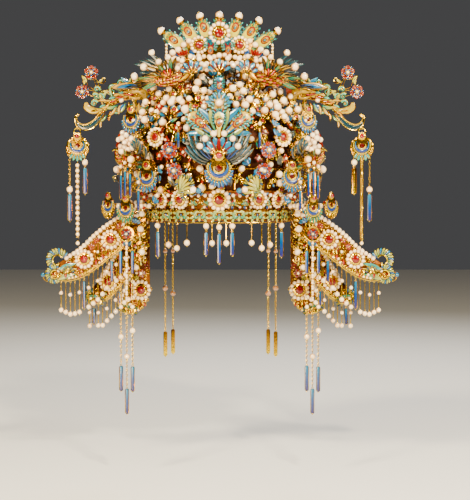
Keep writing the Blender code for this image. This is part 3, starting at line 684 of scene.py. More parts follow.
rings = []
SCALLOPS, EDGING_AROUND = 24, 192
for out, foot in ((0, False), (0, True), (EDGING_WALL, True), (EDGING_WALL, False), (0, False)):
    ring = []
    for i in range(EDGING_AROUND):
        dip = 1 - abs(sin(pi * i * SCALLOPS / EDGING_AROUND))
        z = EDGING_FOOT + 2.0 * dip if foot else EDGING_TOP - 1.2 * dip
        a = 2 * pi * i / EDGING_AROUND
        ring.append(((EDGING_WIDE + out) * sin(a), -(EDGING_DEEP + out) * cos(a), z))
    rings.append(ring)
# The strip is dark gilt: painted shade between the cloud heads.
edging = loops_between(rings, old_gilt_painted_shade, 0.8, caps=False)
ruyi = Pile()                   # one cloud head
for hand in (1, -1):
    path = smoothed([(0, 3.6), (hand * 3.4, 4.4), (hand * 6.2, 2.4), (hand * 6.2, -0.8),
                     (hand * 3.6, -2.2), (hand * 2.4, -0.2)], 3)
    widths = np.interp(np.linspace(0, 1, len(path)), (0, 0.3, 0.7, 1), (1.0, 2.1, 1.9, 0.9))
    ruyi.add(cell(path, widths * 1.15, teal_enamel, rim=0.5, depth=1.5, shades=(0.05, 0.6)))
    for x, y, turn, length in ((6.4, 1.6, -74, 7.0), (6.8, -1.6, -104, 6.4), (6.0, -3.2, -140, 5.6)):
        ruyi.add(leaf(length, 1.9, teal_enamel, (0.5, 0.0), rim=0.4, depth=1.2, steps=6),
                 at(hand * x, y, 0.2, hand * turn))
    ruyi.add(ball(0.9, gilt, 6, 4, shade=0.8), at(hand * 3.4, 0.9, 1.2))
ruyi.add(leaf(7.2, 2.4, teal_enamel, (0.5, 0.0), depth=1.5), at(0, 0.6, 0.2, 180))
ruyi.add(ball(1.2, blue_enamel, 8, 5, shade=0.2), at(0, 0.8, 1.4))
for i in range(SCALLOPS):
    edging.add(ruyi, edging_frame(i * 360 / SCALLOPS, -1.5) @ Matrix.Diagonal((1.0, 1.15, 1, 1)))
RAIL_WIDE, RAIL_DEEP = 94.8, 104.4
rail = [(RAIL_WIDE * sin(radians(a)), -RAIL_DEEP * cos(radians(a)), FRINGE_HEIGHT) for a in range(0, 361, 3)]
edging.add(wire(rail, 0.7, 6, shade=0.6))
edging.made("cloud_edging_scrolls", "crown", "cloud_edging", slot="teal_enamel")


# ---- Crest
# Seven peacock plumes fanned out over a gilt plaque: each a stamped blade with a pale yellow field, lobes
# of turquoise enamel along its edge, a ringed eye and a pearl pinned to its tip. Rosettes and swags of
# pearls are wired to the plaque, which stands on the cap's top.
cream_enamel = finish("cream_enamel", ((0.30, 0.14, 0.0), (0.36, 0.25, 0.0), (0.52, 0.50, 0.01)),
                      (0.2, 0.06, 0.0), 0.16, 0.32, coat=0.15, depth=0.3)
feather_enamel = finish("feather_enamel", ((0.001, 0.004, 0.004), (0.0, 0.010, 0.014), (0.0, 0.055, 0.10)),
                        (0.0, 0.004, 0.006), coat=0.8)
teal_tip = finish("turquoise_enamel", ((0.0, 0.16, 0.19), (0.05, 0.30, 0.20)), (0.0, 0.07, 0.07), coat=0.6)


@lru_cache(None)
def disc(rx, ry, enamel, shade=0.5, depth=0.9, dome=0.35, rim=0.4, sides=16):
    """A round or oval cell: a gilt wire rim filled with domed enamel."""
    rows = ((0, 0), (0, depth * 0.8), (rim / 2, depth), (rim, depth * 0.7))
    rings = [oval(sides, rx - inset, ry - inset, z) for inset, z in rows]
    for share in (0.62, 0.25):
        high = depth * 0.7 + dome * (1 - share ** 2)
        rings.append(oval(sides, (rx - rim) * share, (ry - rim) * share, high))
    made = loops_between(rings, gilt, shade)
    made.finishes[-1] = np.array([gilt] * 3 * sides + [enamel] * 2 * sides + [gilt, enamel])
    return made


def round_cell(radius, *more):
    """A round cell."""
    return disc(round(radius, 2), round(radius, 2), *more)


@lru_cache(None)
def cap_cup(radius):
    """The small gilt cup that holds a pearl."""
    rows = ((0.35, -1.05), (0.75, -0.75), (0.98, -0.35), (0.86, -0.30), (0.5, -0.7))
    rings = [oval(10, radius * share, radius * share, radius * z) for share, z in rows]
    return loops_between(rings, gilt, 0.6)


def eye(pile, place, rx, ry, lift, centre, middle):
    """Adds the ringed eye of a plume: orange, yellow and red rings round an enamel centre."""
    for share, enamel, tone in ((0.86, red_enamel, 0.1), (0.64, cream_enamel, 0.35), (0.46, red_enamel, 0.5),
                                (0.32, centre, middle)):
        inward = 0.86 - share
        pile.add(disc(round(rx * share, 2), round(ry * share, 2), enamel, tone, 1.0, sides=12),
                 place @ at(0, -ry * 0.2 * inward, lift + 0.9 * inward))


PLUME_OUTLINE = (   # share of the plume's length, share of its greatest half width
    (0, 0.26), (0.12, 0.30), (0.3, 0.42), (0.45, 0.66), (0.58, 0.90), (0.70, 1.0), (0.82, 0.97), (0.91, 0.78),
    (0.97, 0.48), (1.0, 0.16))


def plume(pile, place, root, reach, half, enamel, shades, tips, tip_enamel=None, *, eye_at, middle,
          eye_size=0.68, stripes=True, centre=blue_enamel):
    """Adds a peacock plume between two distances along y, with a scalloped head and a ringed eye. One
    with a tip enamel has a yellow field with flutes, the others have two rows of lobes and strokes."""
    long = reach - root
    t, widths = np.array(PLUME_OUTLINE).T
    widths = widths * half
    path = np.stack([0 * t, root + t * long], 1)
    pile.add(cell(path, widths, enamel, rim=half * 0.08, depth=1.5, dome=0.5, shades=shades), place)
    heart = root + eye_at * long
    if tip_enamel:
        pile.add(cell(path[:9] + (0, -0.8), widths[:9] * 0.76, cream_enamel, rim=half * 0.04, depth=2.0,
                      dome=0.3, shades=(0.8, 1.0)), place)
    lobe = leaf(half * 0.46, half * 0.22, tip_enamel or teal_tip, (0.0, tips), depth=1.9, rim=half * 0.075,
                steps=6)
    for row, (broad, along) in enumerate(((0.86, 1), (0.52, 0.8))[:1 if tip_enamel else 2]):
        for share in (0.50, 0.60, 0.70, 0.80, 0.90, 0.98)[:6 - 2 * row]:
            for side in (1, -1):
                x = side * float(np.interp(share, t, widths)) * broad
                y = (root + share * long) * along + heart * 0.2 * row
                pile.add(lobe, place @ at(x, y, 0.2 + 0.8 * row, -side * (150 * (1 - share) + 6)))
    if tip_enamel:              # flutes that fan out above the eye
        turns, out, wide, tones = range(-60, 80, 20), (0.46, 0.52, 0.5), 0.10, (1.0, 0.4)
        colours, depth, reach = (teal_tip, cream_enamel), 2.4, 0.50
    else:                       # strokes round the upper part of the eye
        turns, out, wide, tones = range(-100, 125, 25), (0.56, 0.62, 1.0), 0.12, (0.1, 0.0)
        colours, depth, reach = (teal_tip, red_enamel), 1.2, 0.52
    for k, turn in enumerate(turns):
        x, y = polar(half, 90 - turn)
        stroke = leaf(half * reach, half * wide, colours[k % 2], tones, rim=half * 0.03, depth=depth, steps=5)
        pile.add(stroke, place @ at(x * out[0], heart + y * out[1], out[2], -turn))
    rx = half * eye_size
    eye(pile, place @ at(0, heart - long * 0.03), rx, rx * 1.45, 1.2, centre, middle)
    for x in (-0.16, 0.16) if stripes else ():
        pile.add(leaf(long * 0.42, half * 0.12, blue_enamel, (0.0, 0.4), rim=0.25, depth=1.0, steps=6),
                 place @ at(half * x, root + long * 0.04, 1.2, -x * 40))


PLUMES = (          # angle from upright, distance to the pearl's tip, and from there down to the eye
    (-54, 95, 17), (-37, 87, 15), (-19, 80, 13), (0, 77, 10), (19, 80, 13), (37, 87, 15), (54, 95, 17))
PLUME_ROOT, PLUME_HALF, TIP_PEARL = 22, 8.8, 5.2
plume_frame = facing(0, -58.1, 181)
for number, (angle, reach, below) in enumerate(PLUMES, 1):
    piece = Pile()
    place = plume_frame @ at(0, 0, 0, -angle)
    head = reach - 6.5
    eye_at = 1 - (below - 3.5) / (head - PLUME_ROOT)
    plume(piece, place, PLUME_ROOT, head, PLUME_HALF, teal_tip, (0.2, 0.2), 0.0, teal_tip, eye_at=eye_at,
          eye_size=0.62, centre=teal_tip, middle=0.0)
    piece.add(cap_cup(TIP_PEARL), place @ at(0, reach - 3, 2.2, 0, 1, -90))
    pearl(piece, 0, reach - 3, 2.2, TIP_PEARL, place, fine=True)
    piece.add(ball(1.0, gilt, 8, 5, shade=0.8), place @ at(0, reach + 2.2, 2.2))
    piece.add(wire([(0, reach - 9, 1), (0, reach - 6, 1.8)], 1.5, 8), place)
    piece.made(f"crest_plume_{number}_blade", "crown", f"crest_plume_{number}", slot="teal_enamel")

PLAQUE_HALF = ((16, -2), (70, 8), (70, 22), (52, 33), (36, 44), (15, 47), (12, 55))
plaque_frame = facing(0, -60, 181)
plaque = Pile()
outline = [(-x, y) for x, y in PLAQUE_HALF] + [(x, y) for x, y in reversed(PLAQUE_HALF)]
edge = np.array(outline, float)[::-1]
middle = np.array([0, 22])
rows = ((1.0, 0.0), (1.0, 1.3), (0.985, 1.8), (0.965, 1.3), (0.4, 1.3))
rings = [[(*(middle + (point - middle) * share), z) for point in edge] for share, z in rows]
plaque.add(loops_between(rings, gilt, 0.5), plaque_frame)
rosette(plaque, plaque_frame @ at(0, 51, 1.5), 12, 5.4)
for side in (1, -1):
    rosette(plaque, plaque_frame @ at(side * 26, 36, 1.5), 9.8, 4.6)
    small = plaque_frame @ at(side * 11.5, 28, 1.4, side * 4) @ at(0, -1, 2)    # dark plumes in the middle
    plume(plaque, small, -11, 18, 7.6, feather_enamel, (0.8, 1.0), 0.4, eye_size=0.66, eye_at=0.5,
          stripes=False, middle=0.1)
    for i, (x, y, turn) in enumerate(((41, 30, -35), (50, 21, -50), (58, 15, -62), (33, 22, -20))):
        plaque.add(leaf(12, 3.4, (teal_enamel, blue_enamel)[i % 2], (0.1, 0.7)),
                   plaque_frame @ at(side * x, y - 3, 1.6, side * turn))
SWAGS = ((19, 60, 19, 3.4), (11.5, 68, 22, 3.5), (4, 62, 20, 3.3))      # y, half span, count, pearl's radius
for row, (y, half_span, count, radius) in enumerate(SWAGS):
    for i in range(count):      # swags of threaded pearls along the foot
        x = (i / (count - 1) * 2 - 1) * half_span
        sag = 2.2 * abs(sin(pi * i / 5)) + 7 * (x / 68) ** 2
        pearl(plaque, x, y - sag + 4 - row, 3.8 + 1.4 * row, radius, plaque_frame)
ENDS = ((66, 20), (60, 26), (53, 30), (46, 36), (39, 41), (67, 12), (57, 18), (49, 24))
for side in (1, -1):            # pearls and small petals that cover its two ends
    for i, (x, y) in enumerate(ENDS):
        pearl(plaque, side * x, y, 4.0 + i % 2, 4.2, plaque_frame, fine=True)
        plaque.add(leaf(8, 2.2, blue_enamel, (0.5, 0.0), widest=0.7, rim=0.45, steps=6),
                   plaque_frame @ at(side * (x - 4), y - 3, 2.0, side * -(20 + 12 * i)))
for x in np.linspace(-62, 62, 17):
    plaque.add(ball(1.7, gilt, 8, 5, shade=0.7), plaque_frame @ at(x, 13 - 7 * (x / 68) ** 2, 5.2))
plaque.add(wire([(0, 6, 0.5), (0, -2, -6), (0, -8, -14)], 3.0, 8), plaque_frame)
for side in (1, -1):
    plaque.add(wire([(side * 30, 8, 0.5), (side * 26, -8, -8), (side * 24, -16, -12)], 2.0, 8), plaque_frame)
plaque.made("crest_plaque_set", "crown", "crest_plaque")


# ---- Crescent medallions
# A stamped gilt drop with a cut red stone in a cream ring above a blue crescent, edged with gold beads
# and a row of graded petals. Four stand at each side on posts from the cap.
garnet = finish("garnet", ((0.025, 0.0, 0.0), (0.11, 0.0, 0.001), (0.32, 0.001, 0.002)), (0.015, 0.0, 0.0),
                0.03, 0.08, coat=0.5, cloud=300, depth=0.5, marks=300, relief=0.02, ior=1.6,
                coat_roughness=0.02, facets=True)


def arc(start, end, steps):
    """Points along a part of a circle of radius 1, between two angles in degrees."""
    return [polar(1.0, angle) for angle in np.linspace(start, end, steps)]


def crescent(pile, place, r, drop, stone, petals=11, petal_enamel=blue_enamel, tones=(0.0, 0.55)):
    """Adds a crescent medallion, its lowest petal reaching the drop times its radius. The petals' enamel
    is one, or one for each."""
    n = 44
    edge = []
    for i in range(n):
        high = sin(2 * pi * i / n)
        edge.append(r * (0.92 + (drop - 1.12) * max(0.0, -high) ** 1.5 + 0.16 * max(0.0, high) ** 6))
    edge = np.stack([edge, edge, np.ones(n)], 1)
    rows = ((0.97, 0), (1.0, 0.6), (0.97, 1.2), (0.5, 1.3))
    plate = [np.array(oval(n, share, share, z)) * edge for share, z in rows]
    pile.add(loops_between(plate, gilt, 0.5), place)
    if not isinstance(petal_enamel, tuple):
        petal_enamel = (petal_enamel,) * petals
    step = 152 / (petals - 1)
    for i, enamel in enumerate(petal_enamel):
        off = -76 + step * i
        length = r * (0.26 + (drop - 1.0) * 1.02 * cos(radians(off)) ** 2)
        petal = leaf(length, r * 0.155, enamel, tones, rim=r * 0.03, depth=1.3, widest=0.66, steps=7)
        pile.add(petal, place @ at(*polar(r * 0.93, off - 90), 0.9, 180 + off))
        if i < petals - 1:
            bead = ball(r * 0.055, gilt, 6, 4, shade=1.0)
            pile.add(bead, place @ at(*polar(r * 1.14, off - 90 + step / 2), 1.6))
    bead = ball(r * 0.08, cream_enamel, 7, 5, shade=0.7)
    for i in range(21):
        pile.add(bead, place @ at(*polar(r * 0.90, -202 + 11.2 * i), 1.7))
    widths = np.array([r * (0.05 + 0.15 * sin(pi * i / 16) ** 1.3) for i in range(17)])
    path = [((r * 0.81 - width) * x, (r * 0.81 - width) * y, 1.2)
            for (x, y), width in zip(arc(-90 - 128, -90 + 128, 17), widths)]
    moon = cell(path, widths, blue_enamel, rim=r * 0.035, depth=1.5, dome=0.5)
    heights = moon.points[-1][:, 1]
    moon.shades[-1] = np.clip(0.9 * (r * 0.3 - heights) / (r * 1.15), 0, 1)     # darkest at its lowest point
    pile.add(moon, place)
    path = [(r * 0.40 * x, r * 0.40 * y, 1.2) for x, y in arc(-90 - 115, -90 + 115, 11)]
    widths = [r * (0.03 + 0.065 * sin(pi * i / 10)) for i in range(11)]
    pile.add(cell(path, widths, cream_enamel, rim=0.2, depth=1.3, shades=(0.7, 0.7)), place)
    pile.add(round_cell(r * 0.27, red_enamel, 0.9, 1.0, 0.3, 0.3, 12), place @ at(0, 0, 1.0))
    pile.add(round_cell(r * 0.43, cream_enamel, 0.6, 1.6, 0.1, 0.3), place @ at(0, r * 0.98, 0.6))
    pile.add(cut_stone(round(r * 0.29, 2), round(r * 0.18, 2), 10, stone), place @ at(0, r, 2.2))
    pile.add(toothed_setting(round(r * 0.27, 2), 1.2, 10), place @ at(0, r, 1.9))


def post(pile, start, end, radius):
    """Adds a round post between two points of the crown."""
    pile.add(wire([start, [(a + b) / 2 for a, b in zip(start, end)], end], radius, 8, shade=0.4))


CRESCENTS = (       # name, x, y, z, turn, radius, drop
    ("main", 92, -82, 49, 30, 13.6, 1.45),
    ("upper", 113, -66, 122, 30, 12.2, 1.4),
    ("side", 120, -66, 8, 34, 12.2, 1.45),
    ("rear", 145, -34, 12, 46, 11.6, 1.45),
)
CRESCENT_COLOURS = {        # stone, petals' enamel and tones
    "main": (ruby, blue_enamel, (0.0, 0.35)), "upper": (garnet, blue_enamel, (0.0, 0.35)),
    "side": (garnet, teal_enamel, (0.9, 0.5)), "rear": (garnet, gilt, (0.9, 0.5)),
}
POST_PEARLS = ((0.12, 3.0), (0.26, 3.8), (0.40, 3.2), (0.54, 4.0), (0.68, 3.2), (0.82, 3.8))
for side, hand in SIDES:
    for name, x, y, z, turn, radius, drop in CRESCENTS:
        piece = Pile()
        place = facing(side * x, y, z, side * turn)
        stone, enamel, tones = CRESCENT_COLOURS[name]
        crescent(piece, place, radius, drop, stone, petal_enamel=enamel, tones=tones)
        wide, deep = cap_size(min(max(z, 12), 120))
        start, inward = place @ Vector((0, 0, 0.8)), Vector((side * x, y, z))
        inward.xy *= (wide + (3 if z < 30 else 0)) / hypot(x, y * wide / deep)
        post(piece, start, inward, 1.5)
        bare = (inward - start).length <= 30
        for share, size in () if bare else POST_PEARLS:         # pearls and petals that cover a long post
            spot = start.lerp(inward, share)
            pearl(piece, spot.x, spot.y - 3.4, spot.z + (2.4 if share > 0.3 else -2.0), size)
            petal = leaf(8, 2.0, (blue_enamel, red_enamel)[int(share * 10) % 2], (0.4, 0.0), rim=0.4, steps=6)
            piece.add(petal, Matrix.Translation(spot - Vector((0, 2.0, 0))) @ facing(0, 0, 0, side * turn)
                      @ at(0, 0, 0, share * 500))
        piece.made(f"{name}_crescent_{hand}_set", "crown", f"{name}_crescent_{hand}", slot="blue_enamel")


# ---- Centre phoenix
# The bird's body is the large crescent medallion. Slender feathers, each a gilt blade filled with dark
# teal enamel, curve out as its wings. Eye plumes and blue petals rise behind as its tail.
def petal_fan(pile, place, petals, root, pearls, tones=(0.0, 0.3)):
    """Adds a fan of blue petals, each an (angle, length, half width), with a gilt spoke on each, red
    stripes between them and a pearl at each tip."""
    for i, (angle, length, half) in enumerate(petals):
        spot = place @ at(*polar(root, angle), 0.8, angle - 90)
        pile.add(leaf(length - root, half, blue_enamel, tones[::-1], widest=0.78, rim=0.5, depth=1.5), spot)
        spoke = leaf((length - root) * 0.5, half * 0.42, gilt, (0.9, 0.6), rim=0.3, depth=1.9, steps=5)
        pile.add(spoke, spot)
        pearl(pile, *polar(length + pearls * 0.9, angle), 2.4, pearls, place)
        if i < len(petals) - 1:
            between = (angle + petals[i + 1][0]) / 2
            stripe = leaf(length * 0.72, half * 0.30, red_enamel, (0.9, 0.4), rim=0.3, depth=1.9, steps=6)
            pile.add(stripe, place @ at(*polar(root, between), 0.8, between - 90))
    pile.add(ball(2.4, gilt, 10, 6, 0.5, shade=0.7), place @ at(0, 0, 2.0))


def feather_spray(pile, place, feathers, enamel, split, slim, bend, tones, rise, side):
    """Adds slender curved feathers that fill the blades, each an (angle, length, half width), with
    others between them where they are split."""
    table = np.array(feathers, float)
    for i in range((len(feathers) - 1) * split + 1):
        angle, length, half = (np.interp(i / split, range(len(table)), column) for column in table.T)
        length *= (0.86, 1.0, 0.93)[i % 3] if split > 1 else 1
        feather = leaf(length, half * slim, enamel, tones, widest=0.62, bend=bend, rise=rise, rim=0.24,
                       depth=1.1, dome=0.3, steps=9)
        pile.add(feather, place @ flipped(side) @ at(0, 0, 1.0 + 0.9 * (i % 3), angle - 90 + bend * 0.5))


def resized(feathers, turn, length, half=1.0):
    """The same feathers turned, and with other lengths and widths."""
    return [(a + turn, b * length, c * half) for a, b, c in feathers]


medallion = Pile()
medallion_frame = on_cap(0, 58, 24)
crescent(medallion, medallion_frame, 15.6, 1.4, garnet, petals=13)
medallion.add(wire([(0, 0, 0.5), (0, 0, -23)], 2.2, 8), medallion_frame)
medallion.made("phoenix_medallion_set", "crown", "phoenix_medallion", slot="blue_enamel")

WING_FEATHERS = ((12, 40, 4), (28, 47, 4.5), (44, 52, 5), (60, 46, 5), (76, 36, 4.5))
for side, hand in SIDES:
    piece = Pile()
    place = facing(side * 5, -121, 66)
    feather_spray(piece, place, WING_FEATHERS, feather_enamel, 2, 0.60, -58, (0.0, 0.9), 5.0, side)
    short, tops = resized(WING_FEATHERS[:4], -12, 0.6, 0.9), resized(WING_FEATHERS[1:4], 0, 0.72, 0.8)
    feather_spray(piece, place @ at(0, 0, 2), short, feather_enamel, 1, 0.62, -50, (0.0, 0.7), 3.0, side)
    feather_spray(piece, place @ at(0, 0, 3), tops, blue_enamel, 1, 0.40, -50, (1.0, 0.0), 4.0, side)
    piece.add(wire([(0, 0, 1.5), (0, 2, -8), (0, 4, -14)], 2.0, 8), place)
    piece.made(f"phoenix_wing_{hand}_feathers", "crown", f"phoenix_wing_{hand}", slot="teal_enamel")

tail = Pile()
tail_frame = facing(0, -111, 94, 0, 12)
plume(tail, tail_frame @ at(0, 0, 1.5), 6, 57, 11.5, cream_enamel, (0.3, 0.6), 0.2, eye_at=0.42,
      eye_size=0.5, stripes=False, centre=teal_tip, middle=0.4)
plume(tail, tail_frame @ at(0, 0, 4.4), 3, 36, 7.6, blue_enamel, (0.3, 0.0), 0.0, teal_tip, eye_at=0.56,
      eye_size=0.62, stripes=False, middle=0.2)
pearl(tail, 0, 46, 5.5, 5.2, tail_frame, fine=True)
for angle in range(18, 163, 24):        # blue barbs at the top of the middle plume
    x, y = polar(8, angle)
    tail.add(leaf(11, 2.2, blue_enamel, (0.0, 0.2), rim=0.4, depth=1.6),
             tail_frame @ at(x, 43 + y, 2.5, angle - 90))
for side in (1, -1):            # an eye plume at each side, between two pairs of curled feathers
    place = tail_frame @ flipped(side)
    plume(tail, place @ at(0, 0, 0.6, 42 - 90), 8, 50, 10.5, cream_enamel, (0.3, 0.6), 0.2, eye_at=0.60,
          eye_size=0.62, centre=teal_tip, middle=0.4)
    for angle, length in ((18, 42), (67, 48)):
        for shorter, half, enamel, tones, widest, bend, rise, lift, turn in (
                (8, 3.72, blue_enamel, (0.25, 0.0), 0.72, 38, 4, 1.2, 10),
                (16, 3.0, teal_enamel, (0.6, 0.1), 0.7, -28, 3, 1.6, -8)):
            tail.add(leaf(length - shorter, half, enamel, tones, widest=widest, bend=bend, rim=0.5, depth=1.6,
                          rise=rise), place @ at(0, 0, 0.6, angle - 90) @ at(0, 8, lift, turn))
LOWER_FAN = ((28, 23, 3.4), (52, 24, 3.6), (77, 25, 3.6), (103, 25, 3.6), (128, 24, 3.6), (152, 23, 3.4))
lower = facing(0, -124, 72, 0, 4)
petal_fan(tail, lower @ at(0, 0, 7), LOWER_FAN, 4.0, 4.3)
tail.add(leaf(19, 2.4, red_enamel, (0.8, 0.35), rim=0.5, depth=2.0), lower @ at(0, 4, 10))
tail.add(wire([lower @ Vector((0, 0, z)) for z in (8, 4, 0)], 1.8, 7))
tail.add(wire([(0, -20, 10), (0, -8, 4), (0, 2, 0.5), (0, 4, -10)], 2.2, 8), tail_frame)
tail.made("phoenix_tail_plumes", "crown", "phoenix_tail", slot="teal_enamel")


# ---- Upper phoenixes
# Two gilt birds below the crest, turned to each other: a chased body with scale feathers, a neck with
# an orange ruff, a red comb, and a tail spray of dark curved feathers with pearls on springs.
def bird(pile, place, size):
    """Adds a chased gilt bird that looks along -x, with scale feathers, a raised wing and a tail."""
    body = smoothed([(9, -1, 0), (4, -1, 1), (-3, 0, 1.4), (-8, 2, 1.6), (-11, 6, 2), (-11.5, 10, 2.4),
                     (-10, 13, 2.6)], 3)
    thick = np.interp(np.linspace(0, 1, len(body)), (0, 0.2, 0.45, 0.62, 0.8, 1),
                      (1.4, 3.4, 4.0, 3.0, 1.8, 2.1))
    place = place @ Matrix.Scale(size, 4)
    pile.add(wire(body, thick, 9, shade=0.6), place)
    across, apart = ((-1, 0, 1), 0.62) if size < 1.8 else ((-2, -1, 0, 1, 2), 0.44)
    for i in range(16):         # scales, from the tail to the neck
        x, y, z = body[1 + i]
        radius = float(thick[1 + i])
        for k in across:
            off = k * apart
            scale = leaf(3.4, 1.1, (gilt, cream_enamel, red_enamel)[(i * 2 + k) % 3], (0.3, 0.0), rim=0.26,
                         depth=0.7, steps=5)
            lift = z + radius * (1.0 - 0.5 * off ** 2)
            pile.add(scale, place @ at(x, y + off * radius, lift, -95 - 4 * max(0, i - 9)))
    beak = ((-10, 13, 2.6), (-13.4, 12.9, 2.8), (-16, 11.4, 2.6))
    pile.add(wire(beak, (1.9, 1.0, 0.25), 7, shade=0.9), place)
    pile.add(ball(0.6, feather_enamel, 7, 5, shade=0.1), place @ at(-10.6, 13.6, 4.4))
    for i in range(4):          # comb and wattle
        pile.add(leaf(4.2, 0.9, red_enamel, (0.5, 0.1), bend=34, rim=0.25, steps=5),
                 place @ at(-10 + 0.5 * i, 14.4, 2.8 + 0.2 * i, 24 - i * 26))
    pile.add(leaf(3.0, 0.8, red_enamel, (0.5, 0.2), rim=0.2, steps=5), place @ at(-12, 11.4, 3.4, 186))
    blades = (feather_enamel, teal_enamel, feather_enamel)
    for i in range(7):          # the wing, raised and spread back
        pile.add(leaf(12.5 - 0.7 * i, 1.35, blades[i % 3], (0.9, 0.3), bend=-30, rise=1.5, rim=0.32,
                      depth=1.0, quill=True), place @ at(-2 + 0.7 * i, 1.5, 4.2 + 0.25 * i, -6 - i * 13))
    for i in range(5):          # short covering feathers over its root
        pile.add(leaf(5.6, 1.2, (gilt, red_enamel)[i % 2], (0.5, 0.0), bend=-20, rim=0.3, steps=5),
                 place @ at(-1.5 + 0.6 * i, 1.2, 6.2, 4 - i * 19))
    for i in range(5):          # tail
        long = 17 - abs(i - 2) * 2.2
        pile.add(leaf(long, 1.6, blades[i % 3], (0.9, 0.3), bend=30 - i * 9, rise=1, rim=0.35, depth=1.0,
                      quill=True), place @ at(7, -1, 0.6 + 0.3 * i, -58 - i * 15))


SPRAY = ((-8, 34, 5), (12, 46, 5), (30, 54, 5.5), (48, 52, 5), (66, 40, 5))      # angle, length, half width
SPRAY_PEARLS = ((4, 15, 9, 4.6), (34, 20, 6, 5.2), (46, 8, 8, 4.8), (14, 26, 8, 4.2), (-8, 12, 11, 4.2),
                (24, 38, 5, 4.2))       # x, y, z, radius
for side, hand in SIDES:
    piece = Pile()
    spray = facing(side * 62, -72, 168, side * 10)
    place = spray @ flipped(side)
    feather_spray(piece, spray, SPRAY, feather_enamel, 2, 0.50, 50, (0.0, 0.8), 5.0, side)
    slender, short = resized(SPRAY, 6, 0.7), resized(SPRAY, 0, 0.45)
    feather_spray(piece, spray @ at(0, 0, 2), slender, cream_enamel, 2, 0.20, 52, (0.5, 0.2), 6.0, side)
    feather_spray(piece, spray @ at(0, 0, 3), short, teal_enamel, 1, 0.40, 30, (0.8, 0.1), 3.0, side)
    bird(piece, place @ at(-2, 4, 5), 2.0)
    for x, y, z, size in SPRAY_PEARLS:
        pearl(piece, x, y, z, size, place, fine=True)
        piece.add(wire([(x, y, z), (x * 0.7, y * 0.6, z - 5), (x * 0.5, y * 0.3, 2)], 0.5, 5), place)
    piece.add(wire([(0, 0, 3), (-2, -4, -8), (-4, -8, -16)], 2.4, 8), place)
    piece.made(f"upper_phoenix_{hand}_bird", "crown", f"upper_phoenix_{hand}")


# ---- Flowers, middle rosettes and petal fans
# Each flower has six outer petals of red enamel, six small blue ones above them, and a pearl in a cream
# ring. They stand on short posts from the cap, with a pearl rosette above them and a petal fan higher up.
def flower(pile, place, radius, petals=6, tone=(0.5, 0.05), cup=0.0):
    """Adds a layered enamel flower."""
    outer = leaf(radius * 0.86, radius * 0.34, red_enamel, tone, widest=0.66, rim=radius * 0.05, depth=1.1,
                 dome=0.5, rise=cup, quill=True)
    inner = leaf(radius * 0.48, radius * 0.18, blue_enamel, (0.7, 0.5), widest=0.66, rim=radius * 0.035,
                 depth=1.1, dome=0.4, rise=cup * 0.6, steps=6)
    for i in range(petals):
        angle = 360 * i / petals
        half = angle + 180 / petals
        pile.add(outer, place @ at(0, 0, 0.3, angle))
        pile.add(inner, place @ at(0, 0, 1.7, half))
        pile.add(ball(0.6, gilt, 6, 4, shade=0.9), place @ at(*polar(radius * 0.52, half + 90), 3.0))
        pile.add(round_cell(radius * 0.13, blue_enamel, 0.5, 1.2, 0.5, 0.3, 10),
                 place @ at(*polar(radius * 0.74, half + 90), 1.2))
    pile.add(round_cell(radius * 0.26, cream_enamel, 0.8, 1.4, 0.1, 0.5), place @ at(0, 0, 2.5))
    pearl(pile, 0, 0, 4.0, radius * 0.17, place)


def stem(pile, place, top, foot, radius):
    """Adds the short post that a piece stands on."""
    pile.add(wire([(0, 0, top), (0, 0, foot)], radius, 8), place)


FLOWERS = (("upper", 62, 81, 12.6, 8), ("lower", 56, 55, 12.2, -14))        # name, x, z, radius, turn
FAN = ((20, 19, 2.9), (55, 21, 3.0), (90, 21, 3.0), (125, 21, 3.0), (160, 19, 2.9))     # angle, length, half
for side, hand in SIDES:
    for name, x, z, radius, turn in FLOWERS:
        piece = Pile()
        place = on_cap(side * x, z, 12, 0.6, spin=side * turn)
        flower(piece, place, radius)
        stem(piece, place, 0.6, -12, 1.6)
        piece.made(f"{name}_flower_{hand}_set", "crown", f"{name}_flower_{hand}", slot="red_stone")
    piece = Pile()
    place = on_cap(side * 80, 98, 9, 0.7)
    rosette(piece, place, 10.6, 4.8)
    stem(piece, place, 0.6, -9, 1.8)
    piece.made(f"middle_rosette_{hand}_set", "crown", f"middle_rosette_{hand}", slot="red_stone")
    piece = Pile()
    place = on_cap(side * 61, 122, 9, 0.8)
    petal_fan(piece, place, FAN, 4.0, 4.3)
    stem(piece, place, 1, -9, 2.0)
    piece.made(f"petal_fan_{hand}_set", "crown", f"petal_fan_{hand}", slot="blue_enamel")


# ---- Dragon arms
# A gilt dragon at each side: a chased head with an orange ruff, a red tongue, enamelled horns and
# curling mane. Its body runs out as a grooved scroll, cast in one, to the ring that carries a drop.
ARM_Y = -45
ARM_BARS = {            # (x, z, radius) along each bar
    "body": ((93, 147, 3), (101, 154, 6.8), (120, 154.5, 7), (138, 146, 5), (149, 137, 3.6), (157, 126, 3),
             (166, 117, 2.6), (177, 114, 2.4), (185, 118.5, 2.2), (187, 125, 1.8), (183, 129, 1.2)),
    "hook": ((152, 133, 2), (162, 132, 2.2), (171, 136, 1.8), (175, 143, 1)),
    "horn": ((103, 155, 3), (100, 164, 2.6), (106, 172, 2), (114, 170, 1.2)),
    "crest": ((124, 155, 3), (130, 165, 2.6), (139, 167, 2), (144, 161, 1.2)),
    "curl": ((112, 153, 3), (108, 141, 2.6), (98, 137, 2), (94, 143, 1.2)),
}
BACK_LINE = (           # x and z of the middle of its body
    (104, 120, 138, 149, 157, 166), (155, 154.5, 146, 137, 126, 117))
